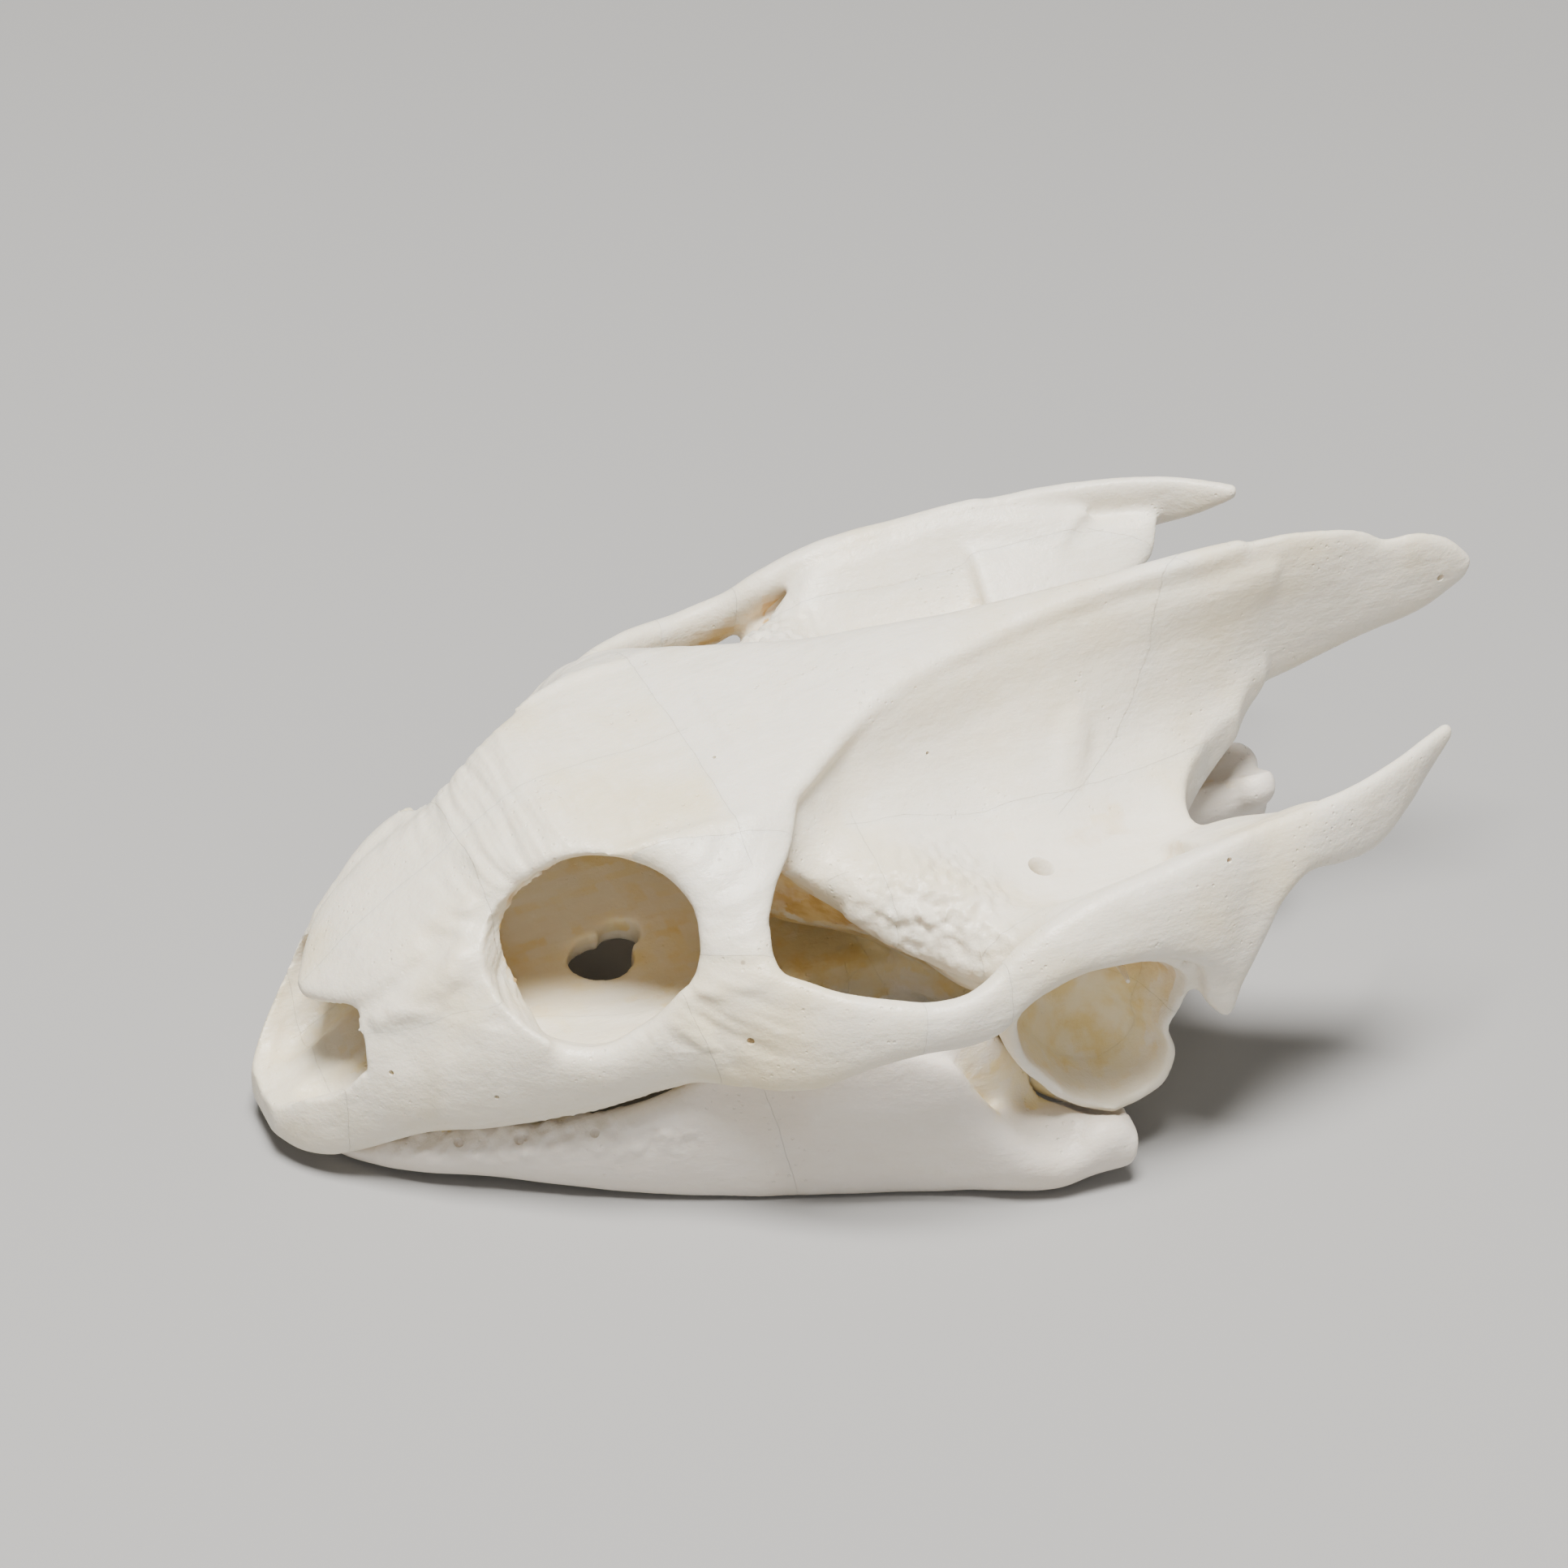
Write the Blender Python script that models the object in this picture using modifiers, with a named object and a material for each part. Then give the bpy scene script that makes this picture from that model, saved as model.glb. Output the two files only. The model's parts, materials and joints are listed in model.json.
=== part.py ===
"""Softshell turtle skull with its lower jaw, resting on the jaw.

Shapes are drawn in millimetres with the snout at x = 0, the animal's left side at -y and the floor
at z = 0. The last step centres the skull over the origin and turns millimetres into metres.
"""
import math

import bmesh
import bpy
import numpy as np
from mathutils import Matrix, Vector

for old in list(bpy.data.objects):
    bpy.data.objects.remove(old)

# Sizes of the whole skull and fineness of the bone surface (mm)
SKULL_LENGTH = 93.0
GAP = 0.3
VOXEL = 0.4
MASS_ROUNDS = 6
SKIN_ROUNDS = 3
REST_FLAT = 0.1

# Edge of the roof: spike over the nostril, rim above the orbit, temporal ridge (x, half width, z)
ROOF_EDGE = [
    (3.3, 0.7, 12.0), (5.0, 3.6, 13.0), (6.6, 5.3, 14.2), (9.5, 6.0, 16.6), (13, 6.0, 19.3), (16.8, 6.5, 22.3),
    (20.0, 7.8, 24.4), (24.2, 10.0, 25.0), (28.5, 11.2, 25.5), (33, 10.9, 26.4), (36, 9.7, 27.0),
    (39, 7.7, 27.8), (42, 5.7, 28.6), (46, 4.0, 29.5), (52, 2.5, 30.4), (60, 1.3, 31.6), (67, 0.9, 32.4),
    (74, 0.7, 33.0),
]
ROOF_THICKNESS = [1.4, 2.9, 2.4, 2.8, 2.6, 2.5, 2.6, 2.4, 2.0, 1.8, 1.6]

# Rim of the left orbit, from its top edge round to its lower edge (x, half width, z)
ORBIT_TOP = [
    (14.1, 8.8, 17.2), (14.7, 6.9, 20.2), (17.2, 6.9, 23.0), (20.7, 8.3, 25.0), (24.3, 10.8, 24.9), (26.0, 13.4, 23.4),
]
ORBIT_LOW = [
    (14.4, 10.6, 16.1), (16.4, 13.8, 14.5), (19.4, 15.7, 14.4), (21.8, 16.3, 15.9), (24.1, 16.3, 18.1), (25.6, 15.6, 21.1),
]

# Upper and lower edges of the cheek arch, from under the orbit to the ear
ARCH_TOP = [
    (23, 16.4, 16.4), (26, 17.2, 18.4), (28.6, 18.0, 20.6), (31.6, 20.2, 20.4), (34.1, 22.2, 19.9), (37.1, 23.7, 19.5),
    (40.4, 24.7, 19.2), (42.5, 25.0, 19.6), (44.1, 24.6, 20.3), (45.7, 23.9, 21.4), (49, 23.3, 23.1), (53.2, 23.1, 24.4),
    (57.6, 22.9, 25.1), (61.2, 22.7, 25.8), (64, 22.4, 26.2),
]
ARCH_LOW = [
    (21.5, 14.9, 8.4), (24, 16.4, 10.0), (26.6, 18.6, 11.9), (29.5, 21.0, 11.8), (32.4, 22.6, 12.3), (35.9, 24.0, 14.3),
    (38.8, 24.8, 15.2), (42.5, 25.3, 15.4), (44.6, 25.4, 16.0), (46.4, 25.4, 17.6), (49.4, 25.4, 19.2), (54.3, 25.2, 19.2),
    (57.6, 24.9, 18.4), (60.2, 24.8, 16.8), (62.2, 24.5, 13.2),
]

# Horn of the squamosal and the hook below it
HORN_TOP = [
    (58, 22.9, 24.8), (61.2, 22.6, 25.6), (64, 22.2, 26.0), (67.8, 21.6, 26.3), (71.8, 21.0, 26.6), (75.4, 20.0, 26.9),
    (78.6, 18.6, 27.1), (82.5, 16.4, 26.8),
]
HORN_LOW = [
    (60.6, 24.4, 13.4), (62.4, 24.5, 11.8), (63.3, 24.4, 14.3), (64.8, 24.2, 17.8), (66.2, 23.8, 20.6), (68.4, 23.0, 21.8),
    (71.1, 22.3, 21.2), (74.4, 21.2, 20.9), (77.4, 19.7, 22.3), (79.9, 18.0, 23.8), (82.4, 16.6, 25.6),
]

# Crest of the supraoccipital in side view
CREST_TOP = [
    (58, 0, 31.3), (67, 0, 32.6), (74.5, 0, 33.5), (79.7, 0, 33.3), (84.2, 0, 32.2), (85.4, 0, 31.4), (87.8, 0, 31.4),
    (90.9, 0, 30.3), (93.1, 0, 28.2),
]
CREST_LOW = [
    (60, 0, 18), (66, 0, 17.4), (71.4, 0, 17.4), (73.4, 0, 18.6), (75.6, 0, 20.2), (79.6, 0, 21.5), (85.4, 0, 23.4),
    (89.9, 0, 24.7), (92.6, 0, 26.6),
]

# Rim of the ear cup on the quadrate, around the opening (x, half width, z)
EAR_RIM = [
    (45.9, 25.2, 17.0), (48.5, 25.3, 18.6), (51.4, 25.3, 19.5), (54.6, 25.1, 19.2), (58.0, 24.8, 18.0), (60.2, 24.3, 15.4),
    (59.6, 23.9, 12.8), (58.9, 23.7, 10.6), (59.6, 23.6, 8.2), (58.8, 23.9, 6.0), (56.1, 24.2, 4.9), (52.2, 24.4, 5.9),
    (48.7, 24.8, 9.2), (46.2, 25.0, 12.8),
]
EAR_CENTRE = (53.0, 24.6, 12.6)

# Half sections of the ear and brain region: (x, [(half width, z) from the crest down, out and round])
OTIC_SECTIONS = [
    (33.4, [(0, 28.2), (8.6, 26.9), (10.2, 25.8), (11.2, 24.9), (11.8, 24.3), (12.0, 23.9), (12.0, 23.3), (11.0, 22.9), (9.0, 23.3), (5.0, 25.0), (0, 25.6)]),
    (36.4, [(0, 28.6), (8.2, 27.2), (9.2, 25.7), (10.0, 24.2), (10.8, 22.9), (11.5, 22.0), (12.1, 21.3), (11.6, 20.2), (8.6, 19.0), (5.2, 13.5), (0, 12.0)]),
    (38.5, [(0, 28.9), (6.8, 27.8), (8.0, 25.8), (9.2, 24.0), (11.0, 23.0), (13.0, 22.2), (14.5, 20.9), (14.0, 19.4), (10.2, 17.8), (5.6, 13.0), (0, 11.7)]),
    (40.6, [(0, 29.2), (5.6, 28.4), (6.8, 25.8), (8.4, 23.8), (11.2, 22.9), (14.2, 22.2), (16.4, 20.3), (16.0, 18.4), (12.0, 16.4), (6.0, 12.5), (0, 11.4)]),
    (43.2, [(0, 29.6), (4.7, 28.9), (6.2, 25.6), (8.4, 23.3), (12.0, 22.8), (15.6, 22.2), (18.6, 19.1), (17.8, 16.8), (12.0, 14.0), (5.6, 11.0), (0, 10.6)]),
    (46.0, [(0, 30.0), (3.8, 29.4), (5.5, 25.4), (8.4, 22.5), (12.6, 21.6), (17.4, 21.4), (21.4, 18.7), (20.6, 15.8), (14.0, 12.4), (6.2, 9.8), (0, 9.2)]),
    (50.0, [(0, 30.4), (2.8, 29.9), (4.6, 25.6), (7.6, 21.8), (12.4, 20.0), (17.2, 19.8), (22.6, 22.6), (22.4, 18.6), (17.0, 13.0), (6.6, 9.6), (0, 8.8)]),
    (54.0, [(0, 30.8), (1.9, 30.4), (3.8, 26.4), (7.0, 22.2), (12.2, 19.2), (17.4, 19.4), (22.6, 23.8), (22.4, 19.0), (17.0, 13.0), (6.6, 9.6), (0, 8.8)]),
    (58.0, [(0, 31.3), (1.3, 31.0), (3.2, 26.8), (6.4, 21.8), (12.0, 18.6), (17.4, 19.6), (22.3, 24.6), (22.2, 19.6), (17.0, 14.0), (6.4, 9.8), (0, 8.9)]),
    (62.0, [(0, 31.6), (0.9, 31.3), (2.5, 26.6), (5.2, 21.2), (10.6, 18.3), (16.6, 19.8), (22.1, 25.2), (22.2, 21.0), (16.4, 16.0), (5.6, 10.4), (0, 9.4)]),
    (66.0, [(0, 31.8), (0.8, 31.5), (1.9, 26.6), (3.8, 21.2), (8.8, 18.4), (15.0, 20.4), (21.4, 25.2), (21.8, 22.6), (15.4, 18.0), (5.0, 12.6), (0, 10.6)]),
    (71.0, [(0, 31.8), (0.7, 31.5), (1.4, 26.6), (2.6, 21.4), (5.0, 18.8), (12.0, 20.6), (20.4, 24.6), (20.6, 23.4), (12.4, 19.4), (4.0, 16.0), (0, 15.4)]),
    (76.5, [(0, 32.6), (0.6, 32.2), (0.8, 27.6), (0.85, 24.4), (0.9, 23.2), (0.9, 22.6), (0.9, 22.2), (0.85, 21.8), (0.7, 21.4), (0.4, 21.0), (0, 20.9)]),
]

# Half sections of the snout below the roof
SNOUT_SECTIONS = [
    (0.2, [(0, 4.9), (1.6, 4.9), (2.6, 3.8), (2.3, 2.0), (0, 1.6)]),
    (1.4, [(0, 6.0), (3.3, 6.3), (4.5, 4.7), (4.1, 1.6), (0, 2.2)]),
    (3.2, [(0, 7.8), (4.9, 8.7), (6.3, 6.0), (5.9, 1.9), (0, 3.0)]),
    (5.0, [(0, 11.4), (5.7, 11.6), (7.6, 7.4), (7.0, 2.6), (0, 4.0)]),
    (6.8, [(0, 14.0), (6.1, 13.8), (9.0, 8.8), (8.2, 3.8), (0, 5.0)]),
    (9.5, [(0, 16.6), (6.5, 16.4), (10.6, 10.8), (9.9, 5.4), (0, 6.2)]),
    (13.0, [(0, 19.4), (6.8, 19.2), (12.8, 12.8), (11.6, 6.0), (0, 7.6)]),
    (16.4, [(0, 21.6), (6.8, 21.8), (15.0, 14.0), (13.0, 6.8), (0, 8.4)]),
]
HOLLOW_SECTIONS = [
    (-2.0, [(0, 11.4), (3.6, 11.0), (4.5, 8.0), (3.3, 5.0), (0, 3.8)]),
    (1.0, [(0, 11.4), (4.0, 11.2), (4.8, 8.3), (3.5, 5.3), (0, 4.1)]),
    (3.0, [(0, 11.5), (4.8, 11.8), (5.6, 9.2), (4.5, 6.3), (0, 4.9)]),
    (5.0, [(0, 12.0), (5.2, 12.7), (6.4, 10.8), (5.5, 7.4), (0, 5.8)]),
    (6.6, [(0, 13.0), (4.8, 13.0), (6.4, 11.8), (6.0, 8.2), (0, 6.8)]),
    (9.5, [(0, 15.0), (4.4, 14.9), (6.4, 12.4), (6.4, 9.0), (0, 7.8)]),
    (13.0, [(0, 18.0), (4.7, 17.8), (6.9, 14.8), (7.0, 10.6), (0, 9.2)]),
    (17.5, [(0, 21.0), (4.8, 21.0), (7.2, 17.0), (7.6, 12.6), (0, 11.0)]),
    (22.0, [(0, 23.4), (5.4, 23.2), (8.6, 18.6), (9.4, 13.4), (0, 12.2)]),
    (27.0, [(0, 25.0), (6.4, 24.6), (10.2, 19.6), (11.0, 14.0), (0, 12.6)]),
    (32.6, [(0, 25.4), (6.6, 25.0), (9.0, 19.6), (8.6, 14.2), (0, 12.8)]),
]

# Half sections of the palate, up to its rear edge
PALATE_SECTIONS = [
    (6, [(0, 7.4), (5, 7.4), (7.4, 6.8), (7.6, 5.0), (0, 5.4)]),
    (16, [(0, 10.6), (7, 10.4), (12.4, 10.4), (12.6, 8.0), (0, 9.0)]),
    (24, [(0, 11.6), (7, 11.0), (15.0, 12.2), (15.2, 10.0), (0, 10.0)]),
    (29, [(0, 12.0), (6, 11.4), (11.6, 11.6), (11.8, 9.8), (0, 9.8)]),
    (36, [(0, 12.2), (5, 11.2), (8.8, 10.6), (9.0, 8.4), (0, 9.0)]),
    (46, [(0, 12.2), (6, 11.2), (10.4, 10.4), (10.8, 8.0), (0, 8.6)]),
    (56, [(0, 12.2), (7, 11.4), (14.0, 10.4), (14.0, 7.8), (0, 8.6)]),
    (63, [(0, 13.0), (5, 12.4), (8.0, 11.8), (8.0, 9.2), (0, 9.2)]),
]

# Lower jaw: upper and lower edges of the left half
JAW_TOP = [
    (3.4, 0.0, 3.0), (4.6, 3.6, 2.9), (8.1, 7.4, 3.6), (12.6, 10.0, 4.8), (18.1, 12.8, 6.1), (21.9, 14.6, 7.6), (24.4, 16.0, 9.4),
    (26.4, 17.0, 11.2), (29.5, 18.0, 13.2), (33.4, 19.2, 15.0), (36.4, 20.4, 14.6), (40.3, 21.8, 12.9), (42.9, 22.6, 11.4),
    (44.2, 23.1, 9.2), (46.4, 24.0, 6.2), (49.0, 24.6, 4.4), (51.0, 24.7, 4.3), (52.4, 24.7, 5.4), (54.4, 24.7, 5.6), (56.0, 24.6, 4.2),
]
JAW_LOW = [
    (4.2, 0.0, 0.9), (6.0, 3.6, 0.7), (9.0, 6.6, 0.7), (13.8, 9.8, 0.7), (18.6, 12.7, 0.45), (23.6, 15.2, 0.1), (31.1, 18.4, 0),
    (39.2, 20.8, 0), (46.7, 22.7, 0.1), (52.0, 23.8, 0.7), (55.4, 24.4, 1.2),
]
JAW_WALL_TOP = [(36, 20.2, 13.6), (40.3, 20.8, 13.5), (43.0, 20.7, 13.4), (45.6, 20.5, 13.0), (48.0, 20.0, 10.4), (50.5, 20.0, 6.4)]
JAW_WALL_LOW = [(36, 19.6, 8.0), (39.0, 20.0, 5.6), (42.0, 20.4, 4.0), (45.0, 20.8, 3.0), (48.0, 21.2, 2.6), (50.0, 21.4, 2.5)]
JAW_THICKNESS = [3.4, 3.4, 3.4, 3.2, 3.0, 2.6, 2.2, 2.4, 3.0, 4.2, 3.6]


def curve(points, count):
    """Points spaced evenly along a smooth line through the given ones."""
    p = np.array(points, float)
    span = np.linalg.norm(np.diff(p[:, :3], axis=0), axis=1) if p.shape[1] > 2 else np.hypot(*np.diff(p, axis=0).T)
    t = np.concatenate([[0.0], np.cumsum(span)])
    tangent = np.gradient(p, t, axis=0)
    s = np.linspace(0, t[-1], count)
    i = np.clip(np.searchsorted(t, s, side="right") - 1, 0, len(p) - 2)
    h = (t[i + 1] - t[i])[:, None]
    u = (s - t[i])[:, None] / h
    a, b = p[i], p[i + 1]
    rise = (u**3 - 2 * u**2 + u) * h * tangent[i] + (u**3 - u**2) * h * tangent[i + 1]
    return (2 * u**3 - 3 * u**2 + 1) * a + (3 * u**2 - 2 * u**3) * b + rise


def skin(name, rings):
    """Closed body through a row of rings, with a face over each end."""
    bm = bmesh.new()
    rows = [[bm.verts.new(p) for p in ring] for ring in rings]
    count = len(rows[0])
    for a, b in zip(rows, rows[1:]):
        for k in range(count):
            n = (k + 1) % count
            bm.faces.new((a[k], a[n], b[n], b[k]))
    for ring in (rows[0], rows[-1]):
        middle = bm.verts.new(sum((v.co for v in ring), Vector()) / count)
        for k in range(count):
            bm.faces.new((ring[k], ring[(k + 1) % count], middle))
    bmesh.ops.recalc_face_normals(bm, faces=bm.faces)
    mesh = bpy.data.meshes.new(name)
    bm.to_mesh(mesh)
    bm.free()
    obj = bpy.data.objects.new(name, mesh)
    bpy.context.scene.collection.objects.link(obj)
    return obj


def blade(name, edge_a, edge_b, thickness, power=2.4, steps=60, around=28):
    """Flat bone between two edges, rounded along both."""
    a, b = curve(edge_a, steps), curve(edge_b, steps)
    centre, arm = (a + b) / 2, (a - b) / 2
    side = np.cross(np.gradient(centre, axis=0), arm)
    side /= np.linalg.norm(side, axis=1)[:, None]
    thick = np.interp(np.linspace(0, 1, steps), np.linspace(0, 1, len(thickness)), thickness) / 2
    phi = np.arange(around) * 2 * math.pi / around
    c = np.sign(np.cos(phi)) * np.abs(np.cos(phi)) ** (2 / power)
    s = np.sign(np.sin(phi)) * np.abs(np.sin(phi)) ** (2 / power)
    flat = arm[:, None] * c[None, :, None]
    out = (side * thick[:, None])[:, None] * s[None, :, None]
    return skin(name, centre[:, None] + flat + out)


def tube(name, points, steps=36, around=24):
    """Round bar along a line of (x, y, z, radius)."""
    p = curve(points, steps)
    along = np.gradient(p[:, :3], axis=0)
    along /= np.linalg.norm(along, axis=1)[:, None]
    up = np.array([0, 0, 1.0]) if abs(along[:, 2]).mean() < 0.8 else np.array([1.0, 0, 0])
    n1 = np.cross(along, up)
    n1 /= np.linalg.norm(n1, axis=1)[:, None]
    n2 = np.cross(along, n1)
    phi = np.arange(around) * 2 * math.pi / around
    ring = n1[:, None] * np.cos(phi)[None, :, None] + n2[:, None] * np.sin(phi)[None, :, None]
    return skin(name, p[:, None, :3] + p[:, 3, None, None] * ring)


def hull(name, sections, along=60, per=8):
    """Body with the same shape on both sides, from half sections."""
    rows = np.array([[[x, w, z] for w, z in half] for x, half in sections], float)
    fine = np.stack([curve(rows[:, k], along) for k in range(rows.shape[1])], 1)
    rings = []
    for row in fine:
        half = curve(row, per * (rows.shape[1] - 1) + 1)
        half[[0, -1], 1] = 0
        rings.append(np.concatenate([half, half[1:-1][::-1] * [1, -1, 1]]))
    return skin(name, rings)


def funnel(name, rim, centre, steps, side):
    """Cup behind a closed rim: steps are (scale of the rim, shift inward)."""
    p = np.array(rim + rim[:1], float)
    p = curve(np.concatenate([p[-3:-1], p, p[1:3]]), 240)[28:-28]
    c = np.array(centre, float)
    rings = []
    for scale, shift in steps:
        ring = c + (p - c) * scale
        ring[:, 1] = c[1] + (p[:, 1] - c[1]) * scale - shift
        rings.append(ring * [1, side, 1])
    return skin(name, rings)


def ball(name, centre, radii):
    """Ellipsoid."""
    bpy.ops.mesh.primitive_uv_sphere_add(segments=40, ring_count=20, radius=1)
    obj = bpy.context.object
    obj.name = name
    obj.data.transform(Matrix.Translation(centre) @ Matrix.Diagonal((*radii, 1)))
    return obj


def post(name, centre, radii, height):
    """Upright elliptic bar, for rounded notches and windows."""
    bpy.ops.mesh.primitive_cylinder_add(vertices=64, radius=1, depth=1)
    obj = bpy.context.object
    obj.name = name
    obj.data.transform(Matrix.Translation(centre) @ Matrix.Diagonal((*radii, height, 1)))
    return obj


def sheet(name, a, b, c, d, thickness=GAP):
    """Thin flat cutter over four corners, as wide as the gap between two bones."""
    p = [Vector(v) for v in (a, b, c, d)]
    n = (p[2] - p[0]).cross(p[3] - p[1]).normalized() * thickness / 2
    return skin(name, [[v - n for v in p], [v + n for v in p]])


def side_points(points, side):
    return [(x, side * w, *rest) for x, w, *rest in points]


def join(name, objs):
    bm = bmesh.new()
    for o in objs:
        bm.from_mesh(o.data)
    mesh = bpy.data.meshes.new(name)
    bm.to_mesh(mesh)
    bm.free()
    for o in objs:
        bpy.data.objects.remove(o)
    obj = bpy.data.objects.new(name, mesh)
    bpy.context.scene.collection.objects.link(obj)
    return obj


def applied(obj):
    graph = bpy.context.evaluated_depsgraph_get()
    mesh = bpy.data.meshes.new_from_object(obj.evaluated_get(graph))
    obj.modifiers.clear()
    obj.data = mesh
    return obj


def grown(obj, voxel=VOXEL):
    """One closed surface around everything in the object."""
    m = obj.modifiers.new("surface", "REMESH")
    m.mode = "VOXEL"
    m.voxel_size = voxel
    return applied(obj)


def softened(obj, rounds, factor=0.5):
    m = obj.modifiers.new("soft", "SMOOTH")
    m.factor = factor
    m.iterations = rounds
    return applied(obj)


def carved(obj, cutters):
    for cutter in cutters:
        m = obj.modifiers.new("cut", "BOOLEAN")
        m.operation = "DIFFERENCE"
        m.solver = "MANIFOLD"
        m.object = cutter
        applied(obj)
        bpy.data.objects.remove(cutter)
    return obj


def skull_body():
    """The whole cranium in one piece."""
    mass = [hull("ear_and_brain", OTIC_SECTIONS, along=80)]
    ear = grown(join("ear_and_brain", mass))
    carved(ear, [post("notch", (74.4, s * 11.4, 24), (8.3, 8.6), 30) for s in (-1, 1)])
    carved(ear, [post("notch", (76.2, s * 9.6, 24), (4.7, 9.0), 30) for s in (-1, 1)])

    parts = [ear]
    left_edge, right_edge = side_points(ROOF_EDGE, -1), side_points(ROOF_EDGE, 1)
    parts.append(blade("roof", right_edge, left_edge, ROOF_THICKNESS, power=2.6, steps=90, around=48))
    parts.append(hull("snout", SNOUT_SECTIONS))
    parts.append(hull("palate", PALATE_SECTIONS))
    parts.append(blade("crest", CREST_TOP, CREST_LOW, [4.2, 3.4, 2.4, 1.7, 1.6, 1.6, 1.4], steps=80))
    parts.append(tube("condyle_neck", [(60, 0, 12.4, 3.8), (68, 0, 12.2, 3.2), (73, 0, 11.6, 2.6), (76.2, 0, 11.3, 2.1)]))
    for y, z, size in ((-1.4, 12.7, 1.8), (1.4, 12.7, 1.8), (0, 10.2, 2.0)):
        parts.append(ball("condyle", (75.9, y, z), (size, size, size)))
    for s in (-1, 1):
        parts.append(blade("cheek", side_points([(10, 9.6, 12.6), (13.4, 11.4, 14.6), (16.5, 13.8, 14.2), (19.5, 15.6, 14.2), (22.6, 16.4, 16.2), (25.0, 16.6, 18.8)], s),
                           side_points([(10, 9.9, 5.7), (14, 11.8, 6.2), (18.1, 13.5, 7.1), (22.6, 15.4, 9.0), (25.6, 17.4, 11.2), (28.5, 20.0, 11.6)], s), [2.8, 3.2, 3.2, 3.0, 2.6]))
        parts.append(blade("bar", side_points([(21.6, 9.0, 25.0), (24.8, 10.5, 24.6), (26.6, 13.0, 23.1), (26.6, 15.2, 20.9), (25.6, 16.2, 18.5), (24.2, 16.4, 17.3)], s),
                           side_points([(36.0, 9.8, 26.6), (34.5, 12.3, 25.2), (32.3, 15.0, 23.8), (31.0, 17.0, 22.2), (30.8, 18.6, 20.8), (31.6, 20.4, 19.9)], s), [2.4, 2.4, 2.2, 2.2, 2.4]))
        parts.append(blade("arch", side_points(ARCH_TOP, s), side_points(ARCH_LOW, s), [2.6, 2.4, 2.2, 2.2, 2.2, 2.4, 2.4, 2.4, 2.2], steps=90))
        parts.append(blade("horn", side_points(HORN_TOP, s), side_points(HORN_LOW, s), [2.4, 2.2, 2.0, 1.7, 1.4, 1.1], steps=80))
        parts.append(funnel("ear_cup", EAR_RIM, EAR_CENTRE, [(1.0, 0.6), (1.02, 2.0), (0.98, 4.0), (0.86, 7.0), (0.6, 10.5), (0.3, 13.0)], s))
        parts.append(tube("jaw_joint", side_points([(50.4, 18.4, 7.0, 2.0), (53.2, 21.0, 6.6, 2.2), (55.6, 23.2, 6.6, 2.0)], s)))
        parts.append(tube("trochlear", side_points([(38.6, 13.2, 20.0, 1.3), (40.8, 15.2, 19.0, 1.5), (43.2, 17.2, 18.2, 1.5), (45.4, 19.6, 17.7, 1.5), (47.4, 21.4, 17.7, 1.5)], s)))
        parts.append(blade("wing", side_points([(62, 21.5, 23.4), (68, 20.8, 23.7), (73, 19.9, 23.8), (77, 18.7, 24.2)], s),
                           side_points([(62, 13.0, 17.4), (66.5, 12.4, 18.1), (71.0, 14.6, 19.2), (76.0, 17.2, 21.2)], s), [3.0, 2.6, 2.0, 1.4]))
        parts.append(tube("fold", side_points([(61.8, 0.4, 26.0, 1.8), (59.4, 1.4, 24.0, 2.6), (58.4, 3.0, 22.2, 2.8), (57.4, 5.0, 20.0, 2.7), (56.8, 7.2, 17.9, 2.4), (56.6, 10.4, 16.6, 1.7)], s)))
        parts.append(tube("snout_edge", side_points([(7.0, 5.9, 12.4, 1.3), (9.5, 6.7, 14.5, 1.6), (12.4, 7.5, 16.7, 1.7), (15.0, 8.0, 18.6, 1.4)], s)))
        parts.append(tube("pterygoid", side_points([(44.6, 8.6, 10.0, 1.9), (48, 11.6, 9.8, 2.3), (53, 17, 8.8, 2.4), (55.4, 20.4, 8.0, 2.2)], s)))
        parts.append(tube("frontal_ledge", side_points([(14, 5.0, 17.6, 0.9), (18, 4.6, 20.6, 0.9), (24, 5.2, 23.4, 1.0), (31, 7.4, 24.2, 1.2), (36, 8.2, 23.6, 1.4)], s)))
    body = softened(grown(join("cranium", parts)), MASS_ROUNDS)

    holes = [hull("nose_to_orbits", HOLLOW_SECTIONS)]
    holes.append(tube("brain_hollow", [(31, 0, 19.6, 2.8), (36, 0, 19.0, 2.8), (39.5, 0, 18.6, 1.6)]))
    holes.append(tube("choana", [(24.3, -2.4, 6.0, 2.2), (24.4, -2.5, 10.0, 2.3), (24.6, -2.6, 14.0, 2.3)]))
    holes.append(tube("choana", [(26.3, -0.8, 6.0, 1.4), (26.4, -0.8, 10.0, 1.5), (26.5, -0.9, 14.0, 1.5)]))
    holes.append(tube("near_nostril", [(0.2, -1.2, 7.1, 2.0), (2.0, -3.7, 8.0, 1.9), (3.9, -5.3, 9.2, 1.8), (5.0, -6.0, 10.6, 1.5)]))
    holes.append(tube("near_nostril", [(0.8, -1.0, 9.4, 2.0), (3.0, -3.8, 9.8, 2.1), (4.9, -5.6, 10.4, 1.6)]))
    holes.append(tube("foramen_magnum", [(60, 0, 15.6, 2.4), (66, 0, 15.8, 2.6), (71, 0, 16.0, 2.7), (80, 0, 16.2, 2.8)]))
    for s in (-1, 1):
        holes.append(blade("orbit", side_points(ORBIT_TOP, s), side_points(ORBIT_LOW, s), [8.0, 11.5, 12.0, 11.0, 8.0], power=2.2, steps=40, around=32))
        holes.append(funnel("ear_hollow", EAR_RIM, EAR_CENTRE, [(0.93, -3.0), (0.9, 0.4), (0.84, 2.4), (0.7, 4.6), (0.42, 6.2), (0.1, 6.8)], s))
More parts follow.
